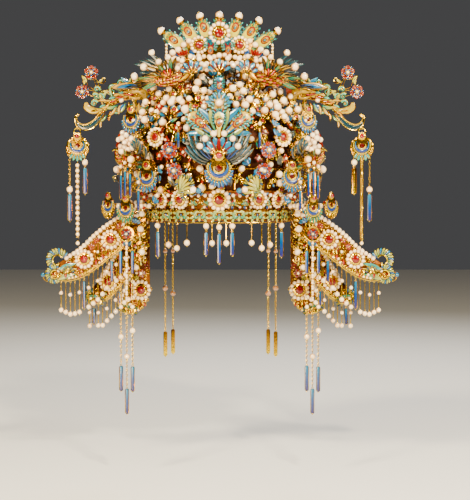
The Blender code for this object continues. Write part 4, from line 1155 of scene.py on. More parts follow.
MANE = (                # x, z, turn, length of each flame above and below the scroll
    (96, 162, 60, 13), (104, 164, 40, 15), (110, 163, 10, 13), (116, 161, -20, 15), (121, 160, -44, 14),
    (127, 157, -30, 15), (133, 154, -52, 13), (138, 150, -38, 15), (144, 145, -60, 13), (150, 140, -40, 12),
    (156, 133, -70, 11), (98, 143, 170, 15), (104, 144, 200, 16), (110, 145, 170, 15), (116, 145, 212, 14),
    (122, 144, 180, 15), (128, 141, 216, 13), (134, 138, 190, 14), (140, 133, 220, 13), (146, 128, 196, 12),
    (152, 122, 214, 11), (90, 138, 150, 14), (92, 130, 190, 15), (100, 133, 165, 14), (107, 137, 205, 14),
    (95, 120, 170, 13), (104, 126, 195, 12))
CLOUD_CURLS = (         # x, z, turn, size, hand
    (150, 150, 20, 4.4, 1), (158, 144, -20, 4.2, 1), (163, 154, 40, 3.8, -1), (155, 160, 10, 3.6, 1),
    (124, 167, 20, 4.6, 1), (135, 163, -10, 4.4, 1), (114, 172, 60, 4.0, -1), (118, 140, 190, 4.4, 1),
    (130, 133, 200, 4.2, -1), (101, 138, 160, 4.6, 1), (108, 128, 200, 4.4, -1), (143, 157, 0, 3.8, -1),
    (92, 124, 180, 4.4, 1), (99, 114, 200, 4.0, -1))
BLADES = (              # x, z, turn, length, half width, enamel, tones, bend: feathers, tongue and lip
    (104, 163, -72, 27, 3.2, blue_enamel, (0.35, 0.0), -20),
    (100, 166, -58, 20, 2.6, teal_enamel, (0.5, 0.1), -24),
    (116, 163, -46, 15, 2.6, teal_enamel, (0.6, 0.0), 40),
    (128, 158, -30, 15, 2.6, teal_enamel, (0.6, 0.0), 60),
    (138, 151, -20, 16, 2.6, teal_enamel, (0.5, 0.0), 70),
    (146, 143, -64, 16, 2.6, teal_enamel, (0.6, 0.0), -50),
    (150, 148, -10, 14, 2.4, teal_enamel, (0.5, 0.0), -60),
    (132, 140, -120, 15, 2.4, teal_enamel, (0.6, 0.1), -30),
    (120, 142, -110, 15, 2.6, blue_enamel, (0.5, 0.1), 26),
    (112, 138, -130, 13, 2.4, teal_enamel, (0.6, 0.1), 30),
    (109, 158, -80, 17, 1.7, red_enamel, (0.6, 0.4), 14),
    (118, 149, -82, 15, 1.5, red_enamel, (0.5, 0.3), -16),
)
SCROLL_ENDS = (         # path, half widths, enamel, rim: the end grooved dark, and its yellow inner hook
    (((150, 131), (157, 123), (166, 115), (176, 112), (184, 116), (187, 124)), (2.4, 3.2, 4.4, 4.2, 3.0, 1.2),
     feather_enamel, 1.35),
    (((150, 135), (158, 133), (166, 134), (172, 138), (173, 144)), (2.0, 3.6, 4.6, 4.4, 2.4),
     cream_enamel, 0.8),
)
CREST_FEATHERS = (      # length, half width, enamel, lift: three nested over the head
    (40, 5.0, cream_enamel, 12.0), (34, 3.3, blue_enamel, 13.4), (23, 1.3, feather_enamel, 15.0))


def grooved_bar(pile, bar, place, enamel):
    """Adds a cast scroll: a flattened bar with two raised ridges, and enamel in the groove between."""
    bar = np.array(bar, float)
    steps = np.linspace(0, len(bar) - 1, len(bar) * 4 - 3)
    line = smoothed(bar[:, :2], 4)
    radii = np.interp(steps, range(len(bar)), bar[:, 2])
    path = np.stack([line[:, 0], 0 * line[:, 0], line[:, 1]], 1)
    pile.add(wire(path, radii, 12, shade=0.5), place)
    ways = np.gradient(line, axis=0)
    ways /= np.maximum(np.linalg.norm(ways, axis=1), 1e-6)[:, None]
    normal = np.stack([-ways[:, 1], 0 * ways[:, 0], ways[:, 0]], 1)
    for share, lift in ((0.72, 0.62), (-0.72, 0.62), (0.0, 0.92)):
        ridge = path + normal * (radii * share)[:, None]
        ridge[:, 1] -= radii * lift
        if share:
            pile.add(wire(ridge, np.maximum(radii * 0.26, 0.4), 6, shade=0.85), place)
        elif enamel is not None:
            tones = np.tile(np.linspace(0.0, 0.7, len(ridge))[:, None], 6).ravel()
            pile.add(wire(ridge, np.maximum(radii * 0.26, 0.3), 6, enamel, tones), place)


for side, hand in SIDES:
    piece = Pile()
    place = Matrix.Translation((0, ARM_Y, 0)) @ flipped(side)
    for name, bar in ARM_BARS.items():
        grooved_bar(piece, bar, place, None if name == "body" else teal_enamel)
    front = place @ facing(0, 0, 0)     # drawn flat from the front: x, z, and how far in front
    for i in range(15):         # scales along the back, growing smaller towards the ring
        x = 104 + 4 * i
        z = np.interp(x, *BACK_LINE)
        size = 1 - 0.55 * i / 14
        for row in (-1, 0, 1):
            scale = leaf(6.4 * size, 2.3 * size, (gilt, teal_enamel, gilt)[(i + row) % 3], (0.5, 0.1),
                         rim=0.35, depth=0.9, steps=6)
            lift = 4.6 * size + 0.8 - abs(row) * 1.4
            piece.add(scale, front @ at(x - 3, z + row * 3.6 * size, lift, -98 - 34 * i / 14))
    for x, z, turn, long, half, enamel, tones, bend in BLADES:
        piece.add(leaf(long, half, enamel, tones, bend=bend, rise=1.5, rim=0.45, depth=1.3),
                  front @ at(x, z, 6.5, turn))
    for path, broad, enamel, edge in SCROLL_ENDS:
        line = smoothed(path, 3)
        widths = np.interp(np.linspace(0, 1, len(line)), np.linspace(0, 1, len(broad)), broad)
        piece.add(cell(line, widths, enamel, rim=edge, depth=1.8, dome=0.6, shades=(0.7, 0.5)),
                  front @ at(0, 0, 2.0))
    for i in range(16):         # yellow and turquoise flames that lie over the body
        x, way = 98 + i * 3.5, (-1) ** i
        flame = leaf(14 - 0.35 * i, 2.7 - 0.07 * i, (cream_enamel, cream_enamel, teal_tip, gilt)[i % 4],
                     (0.6, 0.35), bend=way * 34, rise=1.5, rim=0.45, depth=1.4)
        z = min(155, np.interp(x, *[line[:5] for line in BACK_LINE])) + way * 2.2
        piece.add(flame, front @ at(x, z, 8.4 - 0.14 * i, -74 - 2.6 * i + way * 16))
    for i, (x, z, turn, long) in enumerate(MANE):
        enamel = (cream_enamel, cream_enamel, gilt, teal_enamel)[i % 4]
        flame = leaf(long, long * 0.13, enamel, (0.5, 0.2), bend=(-1) ** i * 46, rise=2, rim=0.4, depth=1.2)
        piece.add(flame, front @ at(x, z, 6.6 + i % 3, turn))
    for x, z, turn, size, way in CLOUD_CURLS:           # scroll clouds: rolled strips, turquoise in gilt rims
        angles = np.linspace(0, 6.6, 11)
        reach = size * 1.1 * (1 - 0.70 * angles / 6.6)
        strip = np.stack([way * (size - reach * np.cos(angles)), reach * np.sin(angles)], 1)
        piece.add(cell(strip, np.linspace(1.9, 0.9, 11), teal_tip, rim=0.75, depth=1.6, shades=(0.9, 0.2)),
                  front @ at(x, z, 6.8, turn))
        enamel = (teal_enamel, cream_enamel)[way > 0]
        heart = round_cell(round(size * 0.42, 1), enamel, 0.4, 1.2, 0.3, 0.4, 10)
        piece.add(heart, front @ at(x, z, 6.6, turn) @ at(way * size, 0))
    for long, half, enamel, lift in CREST_FEATHERS:
        piece.add(leaf(long, half, enamel, (0.55, 0.15), bend=26, rise=1.5, rim=0.55, depth=1.4, widest=0.4),
                  front @ at(99, 163, lift, -76))
    for x, z, turn, long in ((112, 160, -78, 15), (108, 153, -96, 17), (122, 152, -112, 13),
                             (131, 147, -118, 12)):         # red strokes in the mane
        piece.add(leaf(long, 1.2, red_enamel, (0.5, 0.0), bend=-24, rim=0.3, steps=6),
                  front @ at(x, z, 11.5, turn))
    for i in range(11):         # orange ruff behind the head
        piece.add(leaf(9, 1.9, red_enamel, (0.45, 0.0), rim=0.35, depth=1.1, steps=6),
                  front @ at(95 - 0.35 * abs(i - 5), 145 + i * 2.0, 9.0 + 0.2 * i, 112 - i * 4))
    head = smoothed([(94, 150, 6), (98, 156, 8), (105, 159, 9.5), (112, 157.5, 9.5), (118, 159, 9)], 3)
    girth = np.interp(np.linspace(0, 1, len(head)), (0, 0.3, 0.6, 1), (5, 6.0, 4.4, 2.2))
    piece.add(wire([(x, -y, z) for x, z, y in head], girth, 12, cream_enamel, 0.35), place)
    jaw = ((103, -10, 151), (110, -11, 149), (116, -11, 151.5))
    piece.add(wire(jaw, (3.2, 2.4, 1.2), 8, cream_enamel, 0.3), place)
    for k in range(6):          # chased cheeks and brow of the head
        enamel = (cream_enamel, red_enamel, gilt)[k % 3]
        piece.add(leaf(6, 1.3, enamel, (0.4, 0.1), bend=40, rim=0.3, steps=6),
                  front @ at(97 + 3.4 * k, 154 + (k % 2) * 7, 14.5, -60 - 20 * (k % 3)))
    piece.add(ball(1.9, cream_enamel, 10, 7, shade=0.6), front @ at(105, 160.5, 15))
    piece.add(ball(1.0, feather_enamel, 8, 5, shade=0.1), front @ at(105.4, 160.5, 16.4))
    piece.add(ball(1.3, gilt, 8, 5, shade=0.9), front @ at(118.5, 161, 11))
    for x, z, size in ((97, 141, 4.2), (90, 156, 3.6), (127, 147, 3.4), (86, 144, 4.2), (110, 168, 3.8)):
        pearl(piece, x, z, 7.5, size, front, fine=True)
    for i in range(9):          # beads down the groove of the scroll
        x = 158 + i * 3.2
        z = np.interp(x, (157, 166, 177, 185), (126, 117, 114, 118.5))
        piece.add(ball(0.8, gilt, 6, 4, shade=1.0), front @ at(x, z, 2.8))
    piece.add(wire([(102, 0, 152), (88, 4, 149), (68, 8, 143)], 3.0, 8), place)
    ring = [(185, 3.8 * cos(a), 113.5 + 3.8 * sin(a)) for a in np.linspace(0, 2 * pi, 17)]
    piece.add(wire(ring, 0.8, 6, shade=0.7), place)     # the drop's bail hangs in this ring
    piece.made(f"dragon_arm_{hand}_scrolls", "crown", f"dragon_arm_{hand}")


# ---- Spring flowers
# Two flowers above each dragon on coiled gilt wires, so that they tremble: red outer petals, dark blue
# inner ones, a pearl each, and a loose curl of wire beside them.
for side, hand in SIDES:
    piece = Pile()
    place = Matrix.Translation((0, ARM_Y, 0)) @ flipped(side)
    front = place @ facing(0, 0, 0)
    for x, z, turn, root in ((166, 183, 0, ((151.5, 140.4), (153, 152), (157, 168), (165, 181))),
                             (178, 158, 30, ((153, 154), (165, 153), (177, 157)))):
        flower(piece, front @ at(x, z, 1.5, turn), 10.8, 5, tone=(0.75, 0.3), cup=1.5)
        line = smoothed([(a, 0, b) for a, b in root], 12)
        piece.add(wire(line, 0.55, 5), place)
        coil = [(a + 1.3 * cos(i * 1.6), b + 1.3 * sin(i * 1.6), c) for i, (a, b, c) in enumerate(line)]
        piece.add(wire(coil, 0.35, 5, shade=0.7), place)
    for x, z, turn, long, half in ((163, 174, -60, 10, 2.4), (172, 170, -20, 11, 2.4), (158, 170, 70, 8, 2.0),
                                   (176, 167, 20, 9, 2.2)):
        piece.add(leaf(long, half, teal_enamel, (0.1, 0.0), bend=30), front @ at(x, z, 1, turn))
        stalk = smoothed([(x, -1, z), (x - 2, -1, z - 5), (160, 0, min(z - 8, 160))], 3)
        piece.add(wire(stalk, 0.5, 5), place)
    piece.add(curl(1.0, 5.0, 0.9, 1), front @ at(156, 172, 1.5, 160))
    piece.made(f"spring_flowers_{hand}_set", "crown", f"spring_flowers_{hand}", slot="red_stone")


# ---- Arm drops
# A crescent plate that hangs by a wire bail from the ring of each arm. Below it hang two strands with an
# enamel bar each, and a long one of twisted chain at the right and of small beads at the left.
def eyelet(pile, place, x, y, z, wide, high, gauge=0.35, points=9, sides=5, shade=0.8):
    """Adds an upright ring of wire round a point."""
    loop = [(x + wide * cos(a), y + high * sin(a), z) for a in np.linspace(0, 2 * pi, points)]
    pile.add(wire(loop, gauge, sides, shade=shade), place)


def enamel_bar(pile, place, width, foot, top, opened=False):
    """Adds a long bar between two heights, with a raised gilt rim, round ends and a loop at its head.
    An opened one is a gilt rim with a row of beads in it."""
    t = np.array([0, 0.012, 0.035, 0.07, 0.5, 0.93, 0.965, 0.988, 1.0])
    widths = width / 2 * np.array([0.2, 0.62, 0.9, 1, 1, 1, 0.9, 0.62, 0.2])
    path = np.stack([0 * t, foot + (top - foot) * t, 0 * t - 0.8], 1)
    pile.add(cell(path, widths, gilt if opened else blue_enamel, rim=min(width * 0.16, 0.9), depth=2.0,
                  dome=0.3, shades=(1.0, 0.0)), place)
    eyelet(pile, place, 0, top + 1.0, 0.2, 1.2, 1.3, points=11, shade=0.7)
    pile.add(ball(0.9, gilt, 7, 5, shade=0.8), place @ at(0, foot - 0.6, 0.2))
    for i in range(9) if opened else ():
        pile.add(ball(0.8, gilt, 6, 4, shade=1.0), place @ at(0, foot + 4 + i * (top - foot - 8) / 8, 1.0))


LINK_PITCH, LINK_GAUGE = 3.0, 0.38


def link_line(pile, place, x, top, foot):
    """Adds a chain of oval links between two heights, each turned across the last."""
    count = max(2, round((top - foot) / LINK_PITCH))
    step = (top - foot) / count
    long = step * 0.5 + LINK_GAUGE * 1.2
    turns = np.linspace(0, 2 * pi, 9)
    for i in range(count):
        middle = top - (i + 0.5) * step
        wide = np.array([1.05, 0] if i % 2 == 0 else [0, 1.05])
        loop = [(x + wide[0] * cos(a), middle + long * sin(a), 0.2 + wide[1] * cos(a)) for a in turns]
        pile.add(wire(loop, LINK_GAUGE, 5, shade=0.65), place)


def bead_line(pile, place, x, top, foot, radius, gold_every):
    """Adds a threaded strand of small pearls with gold rings between groups."""
    y, i = top, 0
    while y > foot:
        if i % (gold_every + 1) == gold_every:
            pile.add(ball(radius * 0.9, gilt, 8, 5, 0.5, shade=0.9), place @ at(x, y, 0.2, 0, 1, 90))
            y -= radius * 1.0
        else:
            pearl(pile, x, y - radius * 0.3, 0.2, radius, place)
            y -= radius * 1.55
        i += 1


for side, hand in SIDES:
    piece = Pile()
    place = facing(side * 185, ARM_Y, 111.7)
    eyelet(piece, place, 0, -5.2, 0, 4.4, 5.2, 0.8, 19, 6)      # the bail
    piece.add(wire([(0, -10.2, 0), (0, -12, 0)], 1.4, 8), place)
    piece.add(scalloped_plate(14.4, 11), place @ at(0, -26, -1.2))
    crescent(piece, place @ at(0, -23, -0.9), 12.2, 1.50, garnet if side > 0 else ruby,
             petal_enamel=(gilt,) * 3 + (teal_tip,) * 5 + (gilt,) * 3, tones=(0.05, 0.6))
    for x, pearl_y, top, foot, opened in ((-10 * side, -45, -52, -86, side > 0),
                                          (10 * side, -80, -86, -121, False)):
        link_line(piece, place, x, -33, pearl_y + 4.4)
        pearl(piece, x, pearl_y, 0.2, 4.2, place, fine=True)
        link_line(piece, place, x, pearl_y - 4.2, top + 2)
        enamel_bar(piece, place @ at(x, 0), 6.4, foot, top, opened)
    if side > 0:                # twisted chain
        for turn in (0, 2 * pi / 3, 4 * pi / 3):
            twist = [(1.5 * cos(turn + down * 0.9), -38 - down, 1.5 * sin(turn + down * 0.9))
                     for down in np.arange(0, 108, 0.9)]
            piece.add(wire(twist, 0.8, 5, shade=0.7), place)
    else:
        piece.add(wire([(0, -38, 0), (0, -48, 0)], 0.8, 6), place)
        bead_line(piece, place, 0, -48, -144, 2.7, 1)
    pearl(piece, 0, -150, 0, 2.6, place)
    piece.add(ball(1.2, gilt, 8, 5, shade=0.8), place @ at(0, -147, 0))
    piece.made(f"arm_drop_{hand}_set", f"{hand}_drop", f"arm_drop_{hand}", slot="blue_enamel")


# ---- Temple wings
# Three blades at each side, spread down and outwards: gilt sheet with a rope of pearls along the upper
# edge, rosettes, and a close ground of small flowers, leaves and scrolls. A gilt bead wire edges the
# foot, and enamelled phoenix-tail curls finish the tip of the front blade.
WINGS = {           # root x, root y, turn, (x, top, foot) rows, (x, y, radius) rosettes, last x of the pearls
    "front": (97, -34, 10,
              ((97, 8, -26), (112, 6, -36), (128, -1, -44), (141, -9, -53), (155, -19, -64), (168, -30, -74),
               (181, -43, -82), (192, -51, -86), (203, -58, -88), (215, -65, -87), (226, -72, -84),
               (236, -79, -83)),
              ((143, -34, 11), (179, -60, 10.8)), 205),
    "middle": (97, -6, 10,
               ((97, 4, -44), (104, -2, -58), (120, -28, -80), (135, -48, -98), (148, -68, -112),
                (160, -86, -119), (172, -100, -120), (182, -110, -117)), ((149, -91, 10.8),), 158),
    "rear": (95, 26, 14,
             ((95, 4, -104), (101, -10, -122), (108, -34, -132), (116, -62, -137), (124, -88, -138),
              (132, -110, -136), (138, -124, -131)), ((106, -104, 11.6),), 200),
}
WING_SECTION = ((0, 0), (0, 1.2), (0.04, 1.8), (0.35, 2.3), (0.65, 2.3), (0.96, 1.8), (1, 1.2), (1, 0))


def small_flower(pile, place, radius, enamel, tone):
    """Adds a five-petalled flower with a gold bead in it."""
    petal = leaf(round(radius, 1), round(radius * 0.36, 2), enamel, (tone + 0.2, tone), widest=0.65, rim=0.25,
                 depth=0.8, dome=0.3, steps=5)
    for i in range(5):
        pile.add(petal, place @ at(0, 0, 0.2, 72 * i))
    pile.add(ball(0.9, gilt, 7, 4, shade=0.9), place @ at(0, 0, 1.3))


def fluted_curl(pile, place, radius, start, end):
    """Adds a phoenix-tail curl: short turquoise and green flutes side by side along an arc, growing
    smaller, on a gilt spine that ends in a bead."""
    count = 15
    for i in range(count):
        angle = start + (end - start) * i / (count - 1)
        long = radius * 0.66 * (1 - 0.35 * i / count)
        enamel = (blue_enamel, teal_enamel, teal_enamel)[i % 3]
        flute = leaf(long, radius * 0.115, enamel, (0.5, 0.0), widest=0.7, rim=0.4, depth=1.4, bend=34,
                     steps=6)
        pile.add(flute, place @ at(*polar(radius * 0.42, angle), 0.6 + 0.08 * i, angle - 100))
    last = end + (40 if end > start else -40)
    spine = [(*polar(radius * share, angle), 1.8)
             for angle, share in zip(np.linspace(start - 10, last, 14), np.linspace(0.46, 0.34, 14))]
    pile.add(wire(spine, np.linspace(1.3, 0.8, 14), 6, shade=0.9), place)
    pile.add(ball(round(radius * 0.14, 2), gilt, 8, 6, shade=1.0), place @ Matrix.Translation(spine[-1]))


def scroll_pair(pile, place, turns, size, radius, lift):
    """Adds two wire scrolls that wind apart."""
    for way in (1, -1):
        pile.add(curl(turns, size, radius, way), place @ at(0, 0, lift))


def spaced(line, step=None, count=None):
    """x and y of points along a line, at even steps or so many in all."""
    length = np.concatenate([[0], np.cumsum(np.linalg.norm(np.diff(line, axis=0), axis=1))])
    count = int(length[-1] / step) if count is None else count(length[-1])
    step = length[-1] / count if step is None else step
    for k in range(count):
        yield k, *(float(np.interp((k + 0.5) * step, length, line[:, i])) for i in (0, 1))


def wing_frame(side, name):
    """The frame in which a wing's blade lies flat, x outwards from the crown's middle."""
    root_x, root_y, turn = WINGS[name][:3]
    return facing(side * root_x, root_y, 0, side * turn) @ flipped(side) @ at(-root_x, 0)


def wing_edge(name, column):
    """The height of a wing's top (1) or foot (2) at an x."""
    xs, heights = np.array(WINGS[name][3], float)[:, (0, column)].T
    return lambda x: float(np.interp(x, xs, heights))


def wing_sheet(piece, place, name, reach, tops, feet):
    """Adds the blade's sheet, in dark gilt with painted shade, darkest on the middle blade."""
    rings = [np.stack([reach, feet + (tops - feet) * share, 0 * reach + z], 1) for share, z in WING_SECTION]
    # The middle blade is painted darkest, as shade; the other sheets are dark gilt with painted shade and
    # gilt ends.
    shade, end_finish = (0.4, old_gilt_painted_shade) if name == "middle" else (0.8, gilt)
    skin = loops_between(rings + rings[:1], old_gilt_painted_shade, shade, closed=False, caps=False)
    skin.put([ring[0] for ring in rings] + [ring[-1] for ring in rings],
             [tuple(range(8)), tuple(range(8, 16))[::-1]], end_finish, 0.4)
    piece.add(skin, place)


EDGE_PEARL, EDGE_BEAD = 3.3, 1.5
PEARL_STEP, BEAD_STEP = EDGE_PEARL * 1.78, EDGE_BEAD * 1.9


def wing_edges(piece, place, reach, tops, feet, last_pearl):
    """Adds the ropes of pearls and beads along the top, and beads, petals and scrolls along the foot."""
    edge = np.stack([reach, tops, 0 * reach], 1)
    for _, x, y in spaced(edge, count=lambda length: int(length / PEARL_STEP)):
        if x <= last_pearl:         # the tip is left to the curls
            pearl(piece, x, y - 1.0, 3.4, EDGE_PEARL, place)
    for _, x, y in spaced(edge, count=lambda length: int(length / BEAD_STEP)):
        if x <= last_pearl:
            piece.add(ball(1.1, gilt, 6, 4, shade=0.9), place @ at(x, y - 5.9, 3.2))
    foot_line = np.stack([reach, feet + 1.2, 0 * reach + 2.0], 1)
    piece.add(wire(foot_line, 0.9, 6, shade=0.8), place)
    for _, x, y in spaced(foot_line, 4.2):
        piece.add(ball(1.3, gilt, 7, 5, shade=1.0), place @ at(x, y + 1.4, 2.8))
    for k, x, y in spaced(foot_line, 7):
        spot = place @ at(x, y + 3.6, 2.6, (170, -20, 200, 25)[k % 4])
        if k % 3 == 0:
            piece.add(leaf(7.5, 1.9, (teal_enamel, red_enamel)[k % 2], (0.4, 0.0), rim=0.4, bend=40, steps=6),
                      spot @ at(0, 2, 0, 150))
        scroll_pair(piece, spot, 1.0, 3.0, 0.6, 0.6)
        drop = ball(1.3, (red_enamel, gilt)[k % 2], 7, 5, shade=0.3 + 0.6 * (k % 2))
        piece.add(drop, spot @ at(0, 0, 1.8))


def wing_ground(piece, place, name, first, last, top_at, foot_at, rosettes):
    """Adds a close ground of flowers, pearls, leaves and scrolls, none nearer to another than a gap."""
    dice = Random(len(name) * 7 + 3)
    spots = []
    for _ in range(6000):       # most tries fall too close to another piece
        x = dice.uniform(first + 3, last - 3)
        top, foot = top_at(x) - 8.5, foot_at(x) + 4.5
        if top < foot:
            continue
        y = dice.uniform(foot, top)
        gap = 9.5 if name == "middle" and x > 134 else 5.9
        if any(hypot(x - a, y - b) < gap for a, b in spots):
            continue
        if any(hypot(x - a, y - b) < radius + 4.5 for a, b, radius in rosettes):
            continue
        spots.append((x, y))
        kind = len(spots) % 7
        spot = place @ at(x, y, 2.2, dice.uniform(0, 360))
        if kind in (0, 3):
            small_flower(piece, spot, 4.6, red_enamel, 0.1 if kind else 0.35)
            piece.add(ball(1.2, gilt, 7, 5, shade=0.9), spot @ at(0, 0, 1.5))
        elif kind == 1:
            pearl(piece, 0, 0, 2.2, 2.3, spot)
        elif kind == 5:
            small_flower(piece, spot, 4.2, teal_enamel, 0.0)
        else:
            scroll_pair(piece, spot, 0.9, 2.8, 0.5, 0.8)
            piece.add(leaf(5.0, 1.5, gilt, (0.9, 0.6), rim=0.4, depth=1.6, steps=5), spot)


def wing_rods(piece, place, first, last, top_at, foot_at, rosettes):
    """Adds gilt rods that hang over the ground, each with a red leaf or a pearl at its foot."""
    for x in np.arange(first + 6, last - 26, 4.6):
        top = min([top_at(x) - 17] + [y - radius - 3 for a, y, radius in rosettes if abs(a - x) < radius + 2])
        foot = foot_at(x) + 2
        if top - foot < 9:
            continue
        long = min(top - foot, 26)
        rod = ((x, top, 3.4), (x, top - long * 0.5, 5.4), (x, top - long, 4.6))
        # The rods take the brightest of the gilt's tones: a painted highlight.
        piece.add(wire(rod, (0.6, 1.1, 0.7), 5, shade=1.0), place)
        piece.add(ball(1.2, gilt, 6, 5, shade=1.0), place @ at(x, top + 0.6, 4.0))
        if int(x) % 3 == 0:
            piece.add(leaf(8, 1.9, red_enamel, (0.0, 0.4), rim=0.35, steps=5),
                      place @ at(x, top - long + 8, 5.4, 180))
        else:
            pearl(piece, x, top - long, 4.8, 1.7, place)


def front_tip(piece, place):
    """Adds the three curls, the leaves and the blue bead at the tip of a front blade."""
    fluted_curl(piece, place @ at(216, -62, 3.2), 17, 160, -60)
    fluted_curl(piece, place @ at(219, -81, 4.4), 14, 120, -110)
    fluted_curl(piece, place @ at(201, -77, 4.8), 9, 190, 20)
    for y, half, enamel, bend in ((-66, 3.6, teal_tip, 20), (-73, 4.0, cream_enamel, -14),
                                  (-80, 3.6, teal_enamel, 16)):
        piece.add(leaf(26, half, enamel, (0.6, 0.1), bend=bend, rise=2.5, rim=0.6),
                  place @ at(190, y, 4.2, -98))
    piece.add(wire([(226, -86, 2), (231, -90, 2), (235, -87, 2), (236, -84, 2)], 0.8, 6), place)
    piece.add(ball(3.0, blue_enamel, 12, 8, shade=0.1), place @ at(236.5, -81.5, 2))


def other_tip(piece, place, x, y):
    """Adds two curls and a leaf at the tip of a middle or rear blade."""
    fluted_curl(piece, place @ at(x - 8, y + 2, 3.2), 11, 120, -80)
    fluted_curl(piece, place @ at(x - 20, y - 4, 3.6), 8, 250, 60)
    piece.add(leaf(18, 3.2, teal_enamel, (0.9, 0.3), bend=-20), place @ at(x - 22, y + 2, 2.4, -100))


for side, hand in SIDES:
    for name, (_, _, _, rows, rosettes, last_pearl) in WINGS.items():
        piece = Pile()
        place = wing_frame(side, name)
        first, last = rows[0][0], rows[-1][0]
        edges = wing_edge(name, 1), wing_edge(name, 2)
        reach = np.linspace(first, last, 30)
        tops, feet = (np.array([edge(x) for x in reach]) for edge in edges)
        wing_sheet(piece, place, name, reach, tops, feet)
        wing_edges(piece, place, reach, tops, feet, last_pearl)
        wing_ground(piece, place, name, first, last, *edges, rosettes)
        for x, y, radius in rosettes:
            rosette(piece, place @ at(x, y, 3.2), radius, radius * 0.46)
        wing_rods(piece, place, first, last, *edges, rosettes)
        if name == "front":
            front_tip(piece, place)
        else:
            other_tip(piece, place, last, (rows[-1][1] + rows[-1][2]) / 2)
        piece.made(f"{name}_wing_{hand}_blade", "crown", f"{name}_wing_{hand}", slot="teal_enamel")


# ---- Wing fringes
# Thin gilt rods on small loops along the foot of the front and middle blades, each with a pearl at its
# foot, with a few blue enamel bars between. Pearl feet follow two scalloped lines.
FRINGES = {         # first x, last x, how many, and x and height along the line of the pearls
    "front": (124, 212, 15, ((124, 146, 160, 180, 198, 212), (-80, -94, -112, -128, -134, -128))),
    "middle": (116, 176, 11, ((116, 125, 141, 158, 176), (-112, -116, -132, -150, -151))),
}
for side, hand in SIDES:
    for name, (first, last, count, feet) in FRINGES.items():
        piece = Pile()
        place = wing_frame(side, name)
        foot_at = wing_edge(name, 2)
        rail = [(x, foot_at(x) - 1.4, 0.9) for x in np.linspace(first, last, 22)]
        piece.add(wire(rail, 0.7, 6, shade=0.7), place)
        for i in range(count):
            x = first + (last - first) * i / (count - 1)
            top, foot = foot_at(x) - 1.6, float(np.interp(x, *feet))
            eyelet(piece, place, x, top - 1.2, 0.9, 1.1, 1.4)
            if i % 6 == 3:
                enamel_bar(piece, place @ at(x, 0, 0.9), 4.6, foot + 2, top - 6)
                continue
            rod = ((x, top - 2, 0.9), (x, (top + foot) / 2, 0.9), (x, foot + 3, 0.9))
            piece.add(wire(rod, (0.5, 0.7, 0.55), 6, shade=0.7), place)
            piece.add(ball(1.0, gilt, 7, 5, shade=0.9), place @ at(x, foot + 3.4, 0.9))
            pearl(piece, x, foot, 0.9, 3.4, place)
            piece.add(ball(0.7, gilt, 6, 4, shade=0.9), place @ at(x, foot - 3.4, 0.9))
            if i % 2 == 0:      # the inner line of pearls, a little higher
                pearl(piece, x, top + (foot - top) * 0.42, 1.2, 2.7, place)
        piece.made(f"{name}_wing_fringe_{hand}_rods", "crown", f"{name}_wing_fringe_{hand}")


# ---- Front fringe
# Drops that hang from the rail below the edging: bars of blue enamel under a pearl and a short chain,
# and thin gilt rods with a pearl at the foot, each on a loop of wire.
def rail_depth(x):
    """How far in front of the axis the rail is, at a distance to the side."""
    return RAIL_DEEP * sqrt(1 - (x / RAIL_WIDE) ** 2)


FRONT_BARS = (      # x, pearl height, and the bar's top and foot
    (0, -16, -24, -62), (-16.5, -14.6, -22.6, -52), (16.5, -14.6, -22.6, -52), (-80, -15, -23, -56),
    (80, -15, -23, -56))
FRONT_RODS = ((9, -36), (41, -36), (54, -43), (65, -39))        # distance to each side, pearl height


def front_place(x):
    """Adds a drop's eyelet on the rail in front, and gives the frame in which the drop hangs."""
    place = facing(x, -rail_depth(x), 0, 20 * x / RAIL_WIDE)
    eyelet(fringe, place, 0, FRINGE_HEIGHT - 1.0, 0.3, 1.3, 1.5, 0.4)
    return place


fringe = Pile()
for x, pearl_z, top, foot in FRONT_BARS:
    place = front_place(x)
    pearl(fringe, 0, pearl_z, 0.2, 4.0, place, fine=True)
    fringe.add(cap_cup(2.4), place @ at(0, pearl_z - 2.2, 0.2, 0, 1, -90))
    link_line(fringe, place, 0, pearl_z - 3.8, pearl_z - 6)
    enamel_bar(fringe, place, 5.9, foot, top)
for distance, pearl_z in FRONT_RODS:
    for x in (-distance, distance):
        place = front_place(x)
        rod = ((0, FRINGE_HEIGHT - 2, 0.2), (0, pearl_z / 2 - 6, 0.2), (0, pearl_z + 4, 0.2))
        fringe.add(wire(rod, (0.55, 0.85, 0.6), 6, shade=0.75), place)
        fringe.add(ball(1.2, gilt, 8, 5, shade=0.8), place @ at(0, pearl_z + 4.0, 0.2))
        pearl(fringe, 0, pearl_z, 0.2, 4.0, place, fine=True)
        fringe.add(ball(0.9, gilt, 6, 4, shade=0.8), place @ at(0, pearl_z - 4.2, 0.2))
fringe.made("front_fringe_drops", "crown", "front_fringe", slot="blue_enamel")


